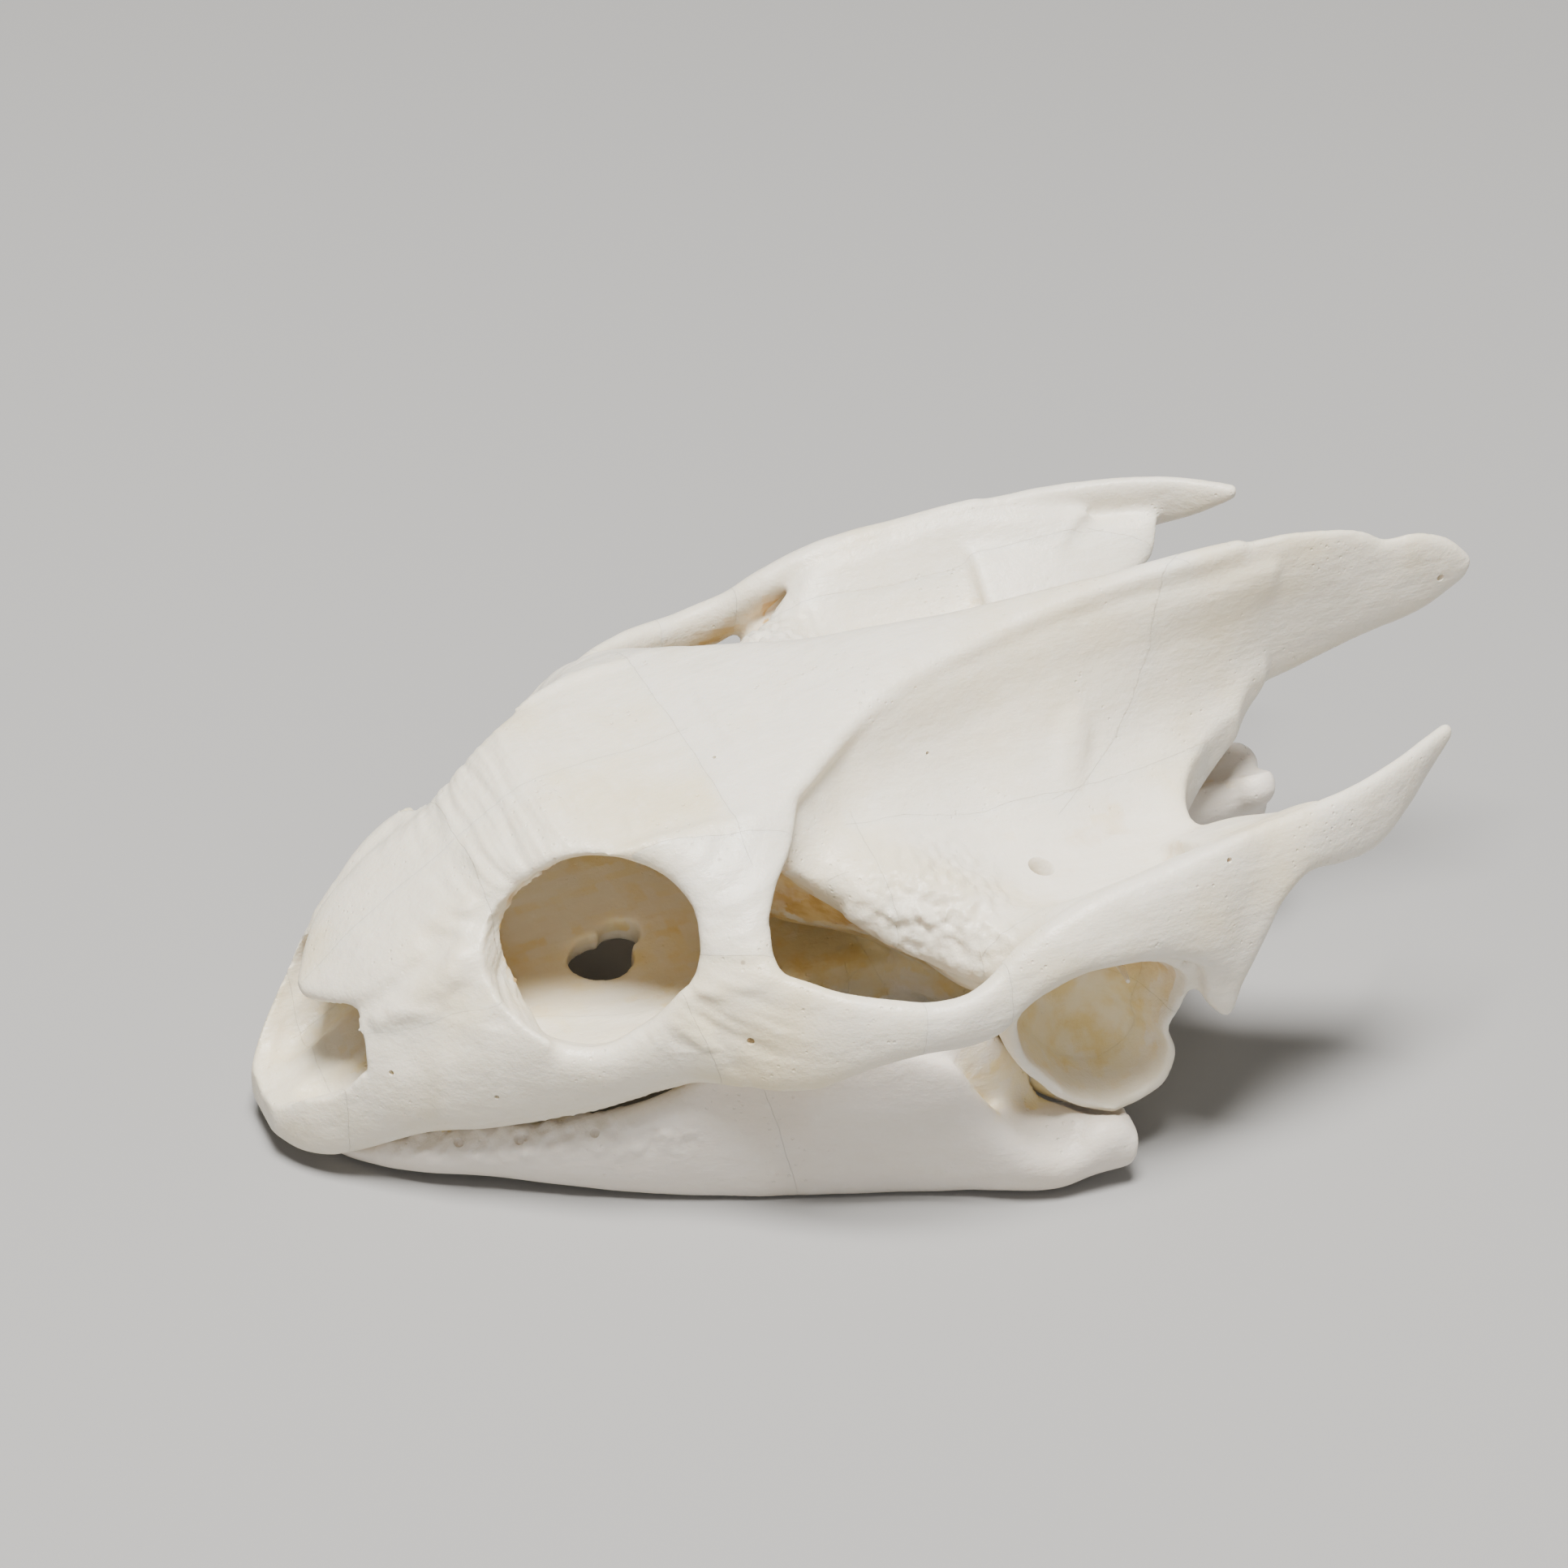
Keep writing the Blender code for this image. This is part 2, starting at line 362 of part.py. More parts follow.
        holes.append(tube("lip_groove", side_points([(7, 9.0, 3.4, 0.9), (13, 13.1, 5.9, 1.4), (18, 15.3, 7.5, 1.5), (23, 17.5, 9.5, 1.3), (26.5, 19.7, 11.0, 0.7)], s)))
        holes.append(ball("orbit_corner", (17.4, s * 10.4, 17.4), (2.9, 4.2, 2.9)))
        holes.append(tube("nostril_floor", side_points([(1.9, 1.8, 5.4, 0.9), (3.4, 2.7, 6.3, 1.6), (5.2, 3.4, 7.6, 1.9), (7.5, 3.8, 9.0, 1.9)], s)))
        holes.append(tube("ear_notch", side_points([(60.2, 19, 10.8, 1.4), (60.2, 30, 10.8, 1.5)], s), steps=4))
    carved(body, holes)
    return softened(grown(body), SKIN_ROUNDS)


def swollen(obj, amount):
    """Copy of a body with its surface moved out."""
    other = obj.copy()
    other.data = obj.data.copy()
    bpy.context.scene.collection.objects.link(other)
    m = other.modifiers.new("out", "DISPLACE")
    m.strength = amount
    m.mid_level = 0
    return grown(applied(other))


def jaw_body(above):
    """The whole lower jaw in one piece, clear of the cranium above it."""
    parts = []
    for s in (-1, 1):
        parts.append(blade("ramus", side_points(JAW_TOP, s), side_points(JAW_LOW, s), JAW_THICKNESS, steps=90))
        parts.append(blade("inner_wall", side_points(JAW_WALL_TOP, s), side_points(JAW_WALL_LOW, s), [1.6, 1.8, 1.8, 1.6]))
        parts.append(tube("articular", side_points([(45.6, 22.0, 5.4, 1.6), (48.6, 22.4, 3.6, 2.2), (51.6, 22.6, 3.2, 2.5), (54.2, 23.2, 3.2, 2.2), (55.6, 23.7, 3.0, 1.8)], s)))
    jaw = softened(grown(join("jaw", parts)), MASS_ROUNDS)
    carved(jaw, [swollen(above, GAP + 0.1)])
    jaw = softened(grown(jaw), SKIN_ROUNDS)
    return carved(jaw, [sheet("floor", (0, -30, -1), (70, -30, -1), (70, 30, -1), (0, 30, -1), 2 + 2 * REST_FLAT)])


def skull_seams():
    """Thin cutters along the seams between the bones of the cranium."""
    seams = [
        sheet("seam", (4.3, -9, -1), (4.3, 9, -1), (4.3, 9, 9.4), (4.3, -9, 9.4)),
        sheet("seam", (-1, 0, 8.0), (31.1, 0, 14), (31.1, 0, 33), (-1, 0, 33)),
        sheet("seam", (15.2, -9, 16), (15.2, 9, 16), (14.2, 9, 30), (14.2, -9, 30)),
        sheet("seam", (31, -13, 18), (31, 13, 18), (31, 13, 32), (31, -13, 32)),
        sheet("seam", (44.8, -17, 4), (44.8, 17, 4), (40.9, 17, 14.5), (40.9, -17, 14.5)),
        sheet("seam", (32, -10.0, 14.5), (32, 10.0, 14.5), (58.1, 7.7, 14.5), (58.1, -7.7, 14.5)),
        sheet("seam", (58.0, -8.1, 14.5), (58.0, 8.1, 14.5), (72, 3.6, 14.5), (72, -3.6, 14.5)),
        sheet("seam", (71.9, -4, 14.5), (71.9, 4, 14.5), (80, 4, 14.5), (80, -4, 14.5)),
    ]
    for s in (-1, 1):
        seams += [
            sheet("seam", *side_points([(4.3, 3.8, -1), (17.1, 6.2, -1), (17.1, 6.2, 13.5), (4.3, 3.8, 8.4)], s)),
            sheet("seam", *side_points([(17.0, 6.1, -1), (29.0, 12.4, -1), (29.0, 12.4, 15.5), (17.0, 6.1, 15.5)], s)),
            sheet("seam", *side_points([(4.8, 12, 13.0), (18.0, 15, 18.8), (18.0, 3.8, 16.6), (4.8, 0.6, 10.6)], s)),
            sheet("seam", *side_points([(20.5, 9.3, 15), (38, 12.7, 15), (38, 12.7, 31), (20.5, 9.3, 31)], s)),
            sheet("seam", *side_points([(23.6, 11.4, 18.4), (34, 17.4, 18.4), (34, 22.6, 23.6), (23.6, 18.8, 23.6)], s)),
            sheet("seam", *side_points([(24.2, 11.5, 20.2), (24.2, 22.5, 20.2), (27.8, 24, 9.0), (27.8, 13, 9.0)], s)),
            sheet("seam", *side_points([(38.4, 19, 10), (38.4, 29, 10), (39.4, 29, 24), (39.4, 19, 24)], s)),
            sheet("seam", *side_points([(45.0, 20.9, 8), (45.0, 29, 8), (45.0, 29, 26), (45.0, 20.9, 26)], s)),
            sheet("seam", *side_points([(43.6, 20.8, 0), (72, 18.6, 0), (72, 18.6, 31), (43.6, 20.8, 31)], s)),
            sheet("seam", *side_points([(71.8, 18.7, 8), (79, 15.6, 8), (79, 15.6, 31), (71.8, 18.7, 31)], s)),
            sheet("seam", *side_points([(44.6, 18.8, 17.0), (44.6, 29, 17.0), (60.8, 29, 11.7), (60.8, 18.8, 11.7)], s)),
            sheet("seam", *side_points([(40.3, 9.2, 2), (58.2, 7.6, 2), (58.2, 7.6, 27), (40.3, 9.2, 27)], s)),
            sheet("seam", *side_points([(40.5, 8.9, 8), (40.5, 19, 8), (40.5, 19, 27), (40.5, 8.9, 27)], s)),
            sheet("seam", *side_points([(32.2, 6.8, 15.1), (32.2, 13.9, 12.8), (40.9, 13.9, 12.8), (40.9, 6.8, 15.1)], s)),
            sheet("seam", *side_points([(56.5, 8.0, 2), (72.0, 3.4, 2), (72.0, 3.4, 25), (56.5, 8.0, 25)], s)),
            sheet("seam", *side_points([(69.0, -0.4, 14.2), (56.6, 8.8, 14.2), (56.6, 8.8, 36), (69.0, -0.4, 36)], s)),
        ]
    return seams


def jaw_seams():
    seams = [sheet("seam", (-1, 0, -2), (14, 0, -2), (14, 0, 10), (-1, 0, 10))]
    for s in (-1, 1):
        seams.append(sheet("seam", *side_points([(33.5, 12, -2), (33.5, 28, -2), (27.8, 28, 18), (27.8, 12, 18)], s)))
    return seams


def loose_pieces(obj):
    """Separate closed surfaces of an object as (size, object), largest first."""
    for o in bpy.context.selected_objects:
        o.select_set(False)
    before = set(bpy.data.objects)
    obj.select_set(True)
    bpy.context.view_layer.objects.active = obj
    bpy.ops.mesh.separate(type="LOOSE")
    pieces = [o for o in bpy.data.objects if o not in before] + [obj]
    return sorted(pieces, key=lambda o: -len(o.data.vertices))


def welded(obj):
    """Slivers merged away. Returns True where every edge still joins two faces."""
    bm = bmesh.new()
    bm.from_mesh(obj.data)
    bmesh.ops.remove_doubles(bm, verts=bm.verts, dist=0.01)
    bmesh.ops.dissolve_degenerate(bm, edges=bm.edges, dist=0.01)
    bmesh.ops.triangulate(bm, faces=bm.faces)
    whole = all(len(e.link_faces) == 2 for e in bm.edges) and all(v.is_manifold for v in bm.verts)
    bm.to_mesh(obj.data)
    bm.free()
    return whole


def thinned(obj, count):
    """Fewer faces, about count triangles, in one closed surface."""
    whole = welded(obj)
    for voxel in (None, 0.35, 0.3, 0.4):
        if voxel:
            grown(obj, voxel)
            welded(obj)
        kept = obj.data.copy()
        m = obj.modifiers.new("fewer", "DECIMATE")
        m.ratio = min(1.0, count / len(obj.data.polygons))
        applied(obj)
        if welded(obj) and (whole or voxel):
            return obj
        print("REDONE", obj.name, voxel)
        obj.data = kept
    return obj


def mirrored(obj, name):
    other = bpy.data.objects.new(name, obj.data.copy())
    bpy.context.scene.collection.objects.link(other)
    other.data.transform(Matrix.Diagonal((1, -1, 1, 1)))
    other.data.flip_normals()
    return other


# Bones: name, a point inside, faces. Names ending in _left have a twin on the other side.
CRANIUM_BONES = [
    ("premaxilla", (2.4, 0.33, 3.0), 360), ("palate", (30, 0.37, 10.8), 900), ("parietal", (46, 0.41, 27), 1100),
    ("supraoccipital_crest", (80, 0.13, 27), 900), ("basioccipital", (62, 0.39, 11.5), 900),
    ("maxilla_left", (14, -12, 9), 620), ("prefrontal_left", (9, -3, 17.0), 420), ("frontal_left", (22, -4, 26), 420),
    ("postorbital_left", (29.6, -13.6, 23.9), 340), ("jugal_left", (31, -20.4, 15.5), 420),
    ("quadratojugal_left", (42, -24.6, 17.5), 240), ("squamosal_left", (68, -22.4, 24), 800),
    ("quadrate_left", (53.6, -20.6, 5.8), 700), ("otic_left", (55, -14, 17), 800),
]
JAW_BONES = [("dentary_left", (20, -13.6, 2.5), 600), ("articular_left", (48, -23, 3), 520)]


def encloses(obj, point):
    """True where a line straight up from the point leaves the body an odd number of times."""
    start = Vector(point)
    crossings = 0
    hit, near, normal, index = obj.ray_cast(start, (0, 0, 1))
    while hit:
        crossings += 1
        start = near + Vector((0, 0, 1e-4))
        hit, near, normal, index = obj.ray_cast(start, (0, 0, 1))
    return crossings % 2 == 1


def named_bones(body, bones):
    """Pieces of a cut body under the names of the bones that they are."""
    pieces = loose_pieces(body)
    named = {}
    for name, inside, faces in bones:
        best = next((o for o in pieces if o not in named.values() and encloses(o, inside)), None)
        assert best is not None, name
        best.name = name
        named[name] = best
    for o in pieces:
        if o not in named.values():
            bpy.data.objects.remove(o)
    for name, inside, faces in bones:
        thinned(named[name], faces)
        if name.endswith("_left"):
            twin = name.replace("_left", "_right")
            named[twin] = mirrored(named[name], twin)
    return named


skull = skull_body()
jaw = jaw_body(skull)
carved(skull, skull_seams())
carved(jaw, jaw_seams())
BONES = {**named_bones(skull, CRANIUM_BONES), **named_bones(jaw, JAW_BONES)}

# Ivory of the bones, a little yellower in the snout and cheek, whiter at the back
WARM = {"premaxilla", "maxilla", "prefrontal", "frontal", "jugal", "palate"}
COOL = {"dentary", "articular", "basioccipital"}

parts = bpy.data.collections.new("softshell_turtle_skull")
bpy.context.scene.collection.children.link(parts)
corners = [v.co for o in BONES.values() for v in o.data.vertices]
low_x, high_x = min(c.x for c in corners), max(c.x for c in corners)
low_z = min(c.z for c in corners)
place = Matrix.Diagonal((0.001, 0.001, 0.001, 1)) @ Matrix.Translation((-(low_x + high_x) / 2, 0, -low_z))
print("CENTRE", (low_x + high_x) / 2, low_z)
for name, bone in BONES.items():
    bone.data.transform(place)
    bone.data.name = name
    for owner in list(bone.users_collection):
        owner.objects.unlink(bone)
    parts.objects.link(bone)
    ivory = bpy.data.materials.new(name + "_bone")
    ivory.use_nodes = True
    kind = name.replace("_left", "").replace("_right", "")
    tone = (0.82, 0.76, 0.64) if kind in WARM else (0.80, 0.75, 0.69) if kind in COOL else (0.82, 0.78, 0.70)
    shader = ivory.node_tree.nodes["Principled BSDF"]
    shader.inputs["Base Color"].default_value = (*tone, 1)
    shader.inputs["Roughness"].default_value = 0.55
    ivory.diffuse_color = (*tone, 1)
    bone.data.materials.clear()
    bone.data.materials.append(ivory)
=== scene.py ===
"""Softshell turtle skull with its lower jaw: the bones as fine surfaces with their finish, lit as in a studio.

Shapes are drawn in millimetres with the snout at x = 0, the animal's left side at -y and the floor
at z = 0, as the part draws them. The last steps move them over the origin and into metres.
"""
import json
import math

import bmesh
import bpy
import numpy as np
from mathutils import Matrix, Vector, noise
from mathutils.bvhtree import BVHTree
from mathutils.kdtree import KDTree

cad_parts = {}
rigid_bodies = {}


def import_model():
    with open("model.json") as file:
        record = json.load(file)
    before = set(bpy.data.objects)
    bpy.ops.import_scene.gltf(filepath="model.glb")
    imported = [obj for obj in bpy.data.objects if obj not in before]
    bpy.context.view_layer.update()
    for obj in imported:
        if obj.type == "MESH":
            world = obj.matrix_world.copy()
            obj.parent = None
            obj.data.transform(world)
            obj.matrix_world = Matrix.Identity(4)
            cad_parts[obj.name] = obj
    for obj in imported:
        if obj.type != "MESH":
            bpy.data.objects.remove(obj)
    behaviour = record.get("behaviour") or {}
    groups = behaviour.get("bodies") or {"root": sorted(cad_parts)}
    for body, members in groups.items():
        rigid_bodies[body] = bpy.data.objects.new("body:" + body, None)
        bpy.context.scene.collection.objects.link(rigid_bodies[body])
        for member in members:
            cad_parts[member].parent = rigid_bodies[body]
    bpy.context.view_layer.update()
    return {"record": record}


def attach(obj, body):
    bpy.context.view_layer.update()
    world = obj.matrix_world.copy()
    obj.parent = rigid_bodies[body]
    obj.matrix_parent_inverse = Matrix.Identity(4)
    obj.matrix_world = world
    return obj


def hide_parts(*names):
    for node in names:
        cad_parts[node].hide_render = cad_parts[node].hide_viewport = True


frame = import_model()

# Fineness of the bone surface (mm), and how far the bones stand apart along a seam
GAP = 0.3
VOXEL = 0.25
SEAM = 0.014
MASS_ROUNDS = 14
SKIN_ROUNDS = 6
REST_FLAT = 0.1

# Edge of the roof: spike over the nostril, rim above the orbit, temporal ridge (x, half width, z)
ROOF_EDGE = [
    (3.3, 0.7, 12.0), (5.0, 3.6, 13.0), (6.6, 5.3, 14.2), (9.5, 6.0, 16.6), (13, 6.0, 19.3), (16.8, 6.5, 22.3),
    (20.0, 7.8, 24.4), (24.2, 10.0, 25.0), (28.5, 11.2, 25.5), (33, 10.9, 26.4), (36, 9.7, 27.0),
    (39, 7.7, 27.8), (42, 5.7, 28.6), (46, 4.0, 29.5), (52, 2.5, 30.4), (60, 1.3, 31.6), (67, 0.9, 32.4),
    (74, 0.7, 33.0),
]
ROOF_THICKNESS = [1.4, 2.9, 2.4, 2.8, 2.6, 2.5, 2.6, 2.4, 2.0, 1.8, 1.6]

# Rim of the left orbit, from its top edge round to its lower edge (x, half width, z)
ORBIT_TOP = [
    (14.1, 8.8, 17.2), (14.7, 6.9, 20.2), (17.2, 6.9, 23.0), (20.7, 8.3, 25.0), (24.3, 10.8, 24.9), (26.0, 13.4, 23.4),
]
ORBIT_LOW = [
    (14.4, 10.6, 16.1), (16.4, 13.8, 14.5), (19.4, 15.7, 14.4), (21.8, 16.3, 15.9), (24.1, 16.3, 18.1),
    (25.6, 15.6, 21.1),
]

# Upper and lower edges of the cheek arch, from under the orbit to the ear
ARCH_TOP = [
    (23, 16.4, 16.4), (26, 17.2, 18.4), (28.6, 18.0, 20.6), (31.6, 20.2, 20.4), (34.1, 22.2, 19.9), (37.1, 23.7, 19.5),
    (40.4, 24.7, 19.2), (42.5, 25.0, 19.6), (44.1, 24.6, 20.3), (45.7, 23.9, 21.4), (49, 23.3, 23.1),
    (53.2, 23.1, 24.4), (57.6, 22.9, 25.1), (61.2, 22.7, 25.8), (64, 22.4, 26.2),
]
ARCH_LOW = [
    (21.5, 14.9, 8.4), (24, 16.4, 10.0), (26.6, 18.6, 11.9), (29.5, 21.0, 11.8), (32.4, 22.6, 12.3),
    (35.9, 24.0, 14.3), (38.8, 24.8, 15.2), (42.5, 25.3, 15.4), (44.6, 25.4, 16.0), (46.4, 25.4, 17.6),
    (49.4, 25.4, 19.2), (54.3, 25.2, 19.2), (57.6, 24.9, 18.4), (60.2, 24.8, 16.8), (62.2, 24.5, 13.2),
]

# Horn of the squamosal and the hook below it
HORN_TOP = [
    (58, 22.9, 24.8), (61.2, 22.6, 25.6), (64, 22.2, 26.0), (67.8, 21.6, 26.3), (71.8, 21.0, 26.6), (75.4, 20.0, 26.9),
    (78.6, 18.6, 27.1), (82.5, 16.4, 26.8),
]
HORN_LOW = [
    (60.6, 24.4, 13.4), (62.4, 24.5, 11.8), (63.3, 24.4, 14.3), (64.8, 24.2, 17.8), (66.2, 23.8, 20.6),
    (68.4, 23.0, 21.8), (71.1, 22.3, 21.2), (74.4, 21.2, 20.9), (77.4, 19.7, 22.3), (79.9, 18.0, 23.8),
    (82.4, 16.6, 25.6),
]

# Crest of the supraoccipital in side view
CREST_TOP = [
    (58, 0, 31.3), (67, 0, 32.6), (74.5, 0, 33.5), (79.7, 0, 33.3), (84.2, 0, 32.2), (85.4, 0, 31.4), (87.8, 0, 31.4),
    (90.9, 0, 30.3), (93.1, 0, 28.2),
]
CREST_LOW = [
    (60, 0, 18), (66, 0, 17.4), (71.4, 0, 17.4), (73.4, 0, 18.6), (75.6, 0, 20.2), (79.6, 0, 21.5), (85.4, 0, 23.4),
    (89.9, 0, 24.7), (92.6, 0, 26.6),
]

# Rim of the ear cup on the quadrate, around the opening (x, half width, z)
EAR_RIM = [
    (45.9, 25.2, 17.0), (48.5, 25.3, 18.6), (51.4, 25.3, 19.5), (54.6, 25.1, 19.2), (58.0, 24.8, 18.0),
    (60.2, 24.3, 15.4), (59.6, 23.9, 12.8), (58.9, 23.7, 10.6), (59.6, 23.6, 8.2), (58.8, 23.9, 6.0),
    (56.1, 24.2, 4.9), (52.2, 24.4, 5.9), (48.7, 24.8, 9.2), (46.2, 25.0, 12.8),
]
EAR_CENTRE = (53.0, 24.6, 12.6)

# Half sections of the ear and brain region: (x, [(half width, z) from the crest down, out and round])
OTIC_SECTIONS = [
    (33.4, [(0, 28.2), (8.6, 26.9), (10.2, 25.8), (11.2, 24.9), (11.8, 24.3), (12.0, 23.9), (12.0, 23.3), (11.0, 22.9),
            (9.0, 23.3), (5.0, 25.0), (0, 25.6)]),
    (36.4, [(0, 28.6), (8.2, 27.2), (9.2, 25.7), (10.0, 24.2), (10.8, 22.9), (11.5, 22.0), (12.1, 21.3), (11.6, 20.2),
            (8.6, 19.0), (5.2, 13.5), (0, 12.0)]),
    (38.5, [(0, 28.9), (6.8, 27.8), (8.0, 25.8), (9.2, 24.0), (11.0, 23.0), (13.0, 22.2), (14.5, 20.9), (14.0, 19.4),
            (10.2, 17.8), (5.6, 13.0), (0, 11.7)]),
    (40.6, [(0, 29.2), (5.6, 28.4), (6.8, 25.8), (8.4, 23.8), (11.2, 22.9), (14.2, 22.2), (16.4, 20.3), (16.0, 18.4),
            (12.0, 16.4), (6.0, 12.5), (0, 11.4)]),
    (43.2, [(0, 29.6), (4.7, 28.9), (6.2, 25.6), (8.4, 23.3), (12.0, 22.8), (15.6, 22.2), (18.6, 19.1), (17.8, 16.8),
            (12.0, 14.0), (5.6, 11.0), (0, 10.6)]),
    (46.0, [(0, 30.0), (3.8, 29.4), (5.5, 25.4), (8.4, 22.5), (12.6, 21.6), (17.4, 21.4), (21.4, 18.7), (20.6, 15.8),
            (14.0, 12.4), (6.2, 9.8), (0, 9.2)]),
    (50.0, [(0, 30.4), (2.8, 29.9), (4.6, 25.6), (7.6, 21.8), (12.4, 20.0), (17.2, 19.8), (22.6, 22.6), (22.4, 18.6),
            (17.0, 13.0), (6.6, 9.6), (0, 8.8)]),
    (54.0, [(0, 30.8), (1.9, 30.4), (3.8, 26.4), (7.0, 22.2), (12.2, 19.2), (17.4, 19.4), (22.6, 23.8), (22.4, 19.0),
            (17.0, 13.0), (6.6, 9.6), (0, 8.8)]),
    (58.0, [(0, 31.3), (1.3, 31.0), (3.2, 26.8), (6.4, 21.8), (12.0, 18.6), (17.4, 19.6), (22.3, 24.6), (22.2, 19.6),
            (17.0, 14.0), (6.4, 9.8), (0, 8.9)]),
    (62.0, [(0, 31.6), (0.9, 31.3), (2.5, 26.6), (5.2, 21.2), (10.6, 18.3), (16.6, 19.8), (22.1, 25.2), (22.2, 21.0),
            (16.4, 16.0), (5.6, 10.4), (0, 9.4)]),
    (66.0, [(0, 31.8), (0.8, 31.5), (1.9, 26.6), (3.8, 21.2), (8.8, 18.4), (15.0, 20.4), (21.4, 25.2), (21.8, 22.6),
            (15.4, 18.0), (5.0, 12.6), (0, 10.6)]),
    (71.0, [(0, 31.8), (0.7, 31.5), (1.4, 26.6), (2.6, 21.4), (5.0, 18.8), (12.0, 20.6), (20.4, 24.6), (20.6, 23.4),
            (12.4, 19.4), (4.0, 16.0), (0, 15.4)]),
    (76.5, [(0, 32.6), (0.6, 32.2), (0.8, 27.6), (0.85, 24.4), (0.9, 23.2), (0.9, 22.6), (0.9, 22.2), (0.85, 21.8),
            (0.7, 21.4), (0.4, 21.0), (0, 20.9)]),
]

# Half sections of the snout below the roof
SNOUT_SECTIONS = [
    (0.2, [(0, 4.9), (1.6, 4.9), (2.6, 3.8), (2.3, 2.0), (0, 1.6)]),
    (1.4, [(0, 6.0), (3.3, 6.3), (4.5, 4.7), (4.1, 1.6), (0, 2.2)]),
    (3.2, [(0, 7.8), (4.9, 8.7), (6.3, 6.0), (5.9, 1.9), (0, 3.0)]),
    (5.0, [(0, 11.4), (5.7, 11.6), (7.6, 7.4), (7.0, 2.6), (0, 4.0)]),
    (6.8, [(0, 14.0), (6.1, 13.8), (9.0, 8.8), (8.2, 3.8), (0, 5.0)]),
    (9.5, [(0, 16.6), (6.5, 16.4), (10.6, 10.8), (9.9, 5.4), (0, 6.2)]),
    (13.0, [(0, 19.4), (6.8, 19.2), (12.8, 12.8), (11.6, 6.0), (0, 7.6)]),
    (16.4, [(0, 21.6), (6.8, 21.8), (15.0, 14.0), (13.0, 6.8), (0, 8.4)]),
]
HOLLOW_SECTIONS = [
    (-2.0, [(0, 11.4), (3.6, 11.0), (4.5, 8.0), (3.3, 5.0), (0, 3.8)]),
    (1.0, [(0, 11.4), (4.0, 11.2), (4.8, 8.3), (3.5, 5.3), (0, 4.1)]),
    (3.0, [(0, 11.5), (4.8, 11.8), (5.6, 9.2), (4.5, 6.3), (0, 4.9)]),
    (5.0, [(0, 12.0), (5.2, 12.7), (6.4, 10.8), (5.5, 7.4), (0, 5.8)]),
    (6.6, [(0, 13.0), (4.8, 13.0), (6.4, 11.8), (6.0, 8.2), (0, 6.8)]),
    (9.5, [(0, 15.0), (4.4, 14.9), (6.4, 12.4), (6.4, 9.0), (0, 7.8)]),
    (13.0, [(0, 18.0), (4.7, 17.8), (6.9, 14.8), (7.0, 10.6), (0, 9.2)]),
    (17.5, [(0, 21.0), (4.8, 21.0), (7.2, 17.0), (7.6, 12.6), (0, 11.0)]),
    (22.0, [(0, 23.4), (5.4, 23.2), (8.6, 18.6), (9.4, 13.4), (0, 12.2)]),
    (27.0, [(0, 25.0), (6.4, 24.6), (10.2, 19.6), (11.0, 14.0), (0, 12.6)]),
    (32.6, [(0, 25.4), (6.6, 25.0), (9.0, 19.6), (8.6, 14.2), (0, 12.8)]),
]

# Half sections of the palate, up to its rear edge
PALATE_SECTIONS = [
    (6, [(0, 7.4), (5, 7.4), (7.4, 6.8), (7.6, 5.0), (0, 5.4)]),
    (16, [(0, 10.6), (7, 10.4), (12.4, 10.4), (12.6, 8.0), (0, 9.0)]),
    (24, [(0, 11.6), (7, 11.0), (15.0, 12.2), (15.2, 10.0), (0, 10.0)]),
    (29, [(0, 12.0), (6, 11.4), (11.6, 11.6), (11.8, 9.8), (0, 9.8)]),
    (36, [(0, 12.2), (5, 11.2), (8.8, 10.6), (9.0, 8.4), (0, 9.0)]),
    (46, [(0, 12.2), (6, 11.2), (10.4, 10.4), (10.8, 8.0), (0, 8.6)]),
    (56, [(0, 12.2), (7, 11.4), (14.0, 10.4), (14.0, 7.8), (0, 8.6)]),
    (63, [(0, 13.0), (5, 12.4), (8.0, 11.8), (8.0, 9.2), (0, 9.2)]),
]

# Lower jaw: upper and lower edges of the left half
JAW_TOP = [
    (3.4, 0.0, 3.0), (4.6, 3.6, 2.9), (8.1, 7.4, 3.6), (12.6, 10.0, 4.8), (18.1, 12.8, 6.1), (21.9, 14.6, 7.6),
    (24.4, 16.0, 9.4), (26.4, 17.0, 11.2), (29.5, 18.0, 13.2), (33.4, 19.2, 15.0), (36.4, 20.4, 14.6),
    (40.3, 21.8, 12.9), (42.9, 22.6, 11.4), (44.2, 23.1, 9.2), (46.4, 24.0, 6.2), (49.0, 24.6, 4.4), (51.0, 24.7, 4.3),
    (52.4, 24.7, 5.4), (54.4, 24.7, 5.6), (56.0, 24.6, 4.2),
]
JAW_LOW = [
    (4.2, 0.0, 0.9), (6.0, 3.6, 0.7), (9.0, 6.6, 0.7), (13.8, 9.8, 0.7), (18.6, 12.7, 0.45), (23.6, 15.2, 0.1),
    (31.1, 18.4, 0), (39.2, 20.8, 0), (46.7, 22.7, 0.1), (52.0, 23.8, 0.7), (55.4, 24.4, 1.2),
]
JAW_WALL_TOP = [
    (36, 20.2, 13.6), (40.3, 20.8, 13.5), (43.0, 20.7, 13.4), (45.6, 20.5, 13.0), (48.0, 20.0, 10.4),
    (50.5, 20.0, 6.4),
]
JAW_WALL_LOW = [
    (36, 19.6, 8.0), (39.0, 20.0, 5.6), (42.0, 20.4, 4.0), (45.0, 20.8, 3.0), (48.0, 21.2, 2.6), (50.0, 21.4, 2.5),
]
JAW_THICKNESS = [3.4, 3.4, 3.4, 3.2, 3.0, 2.6, 2.2, 2.4, 3.0, 4.2, 3.6]

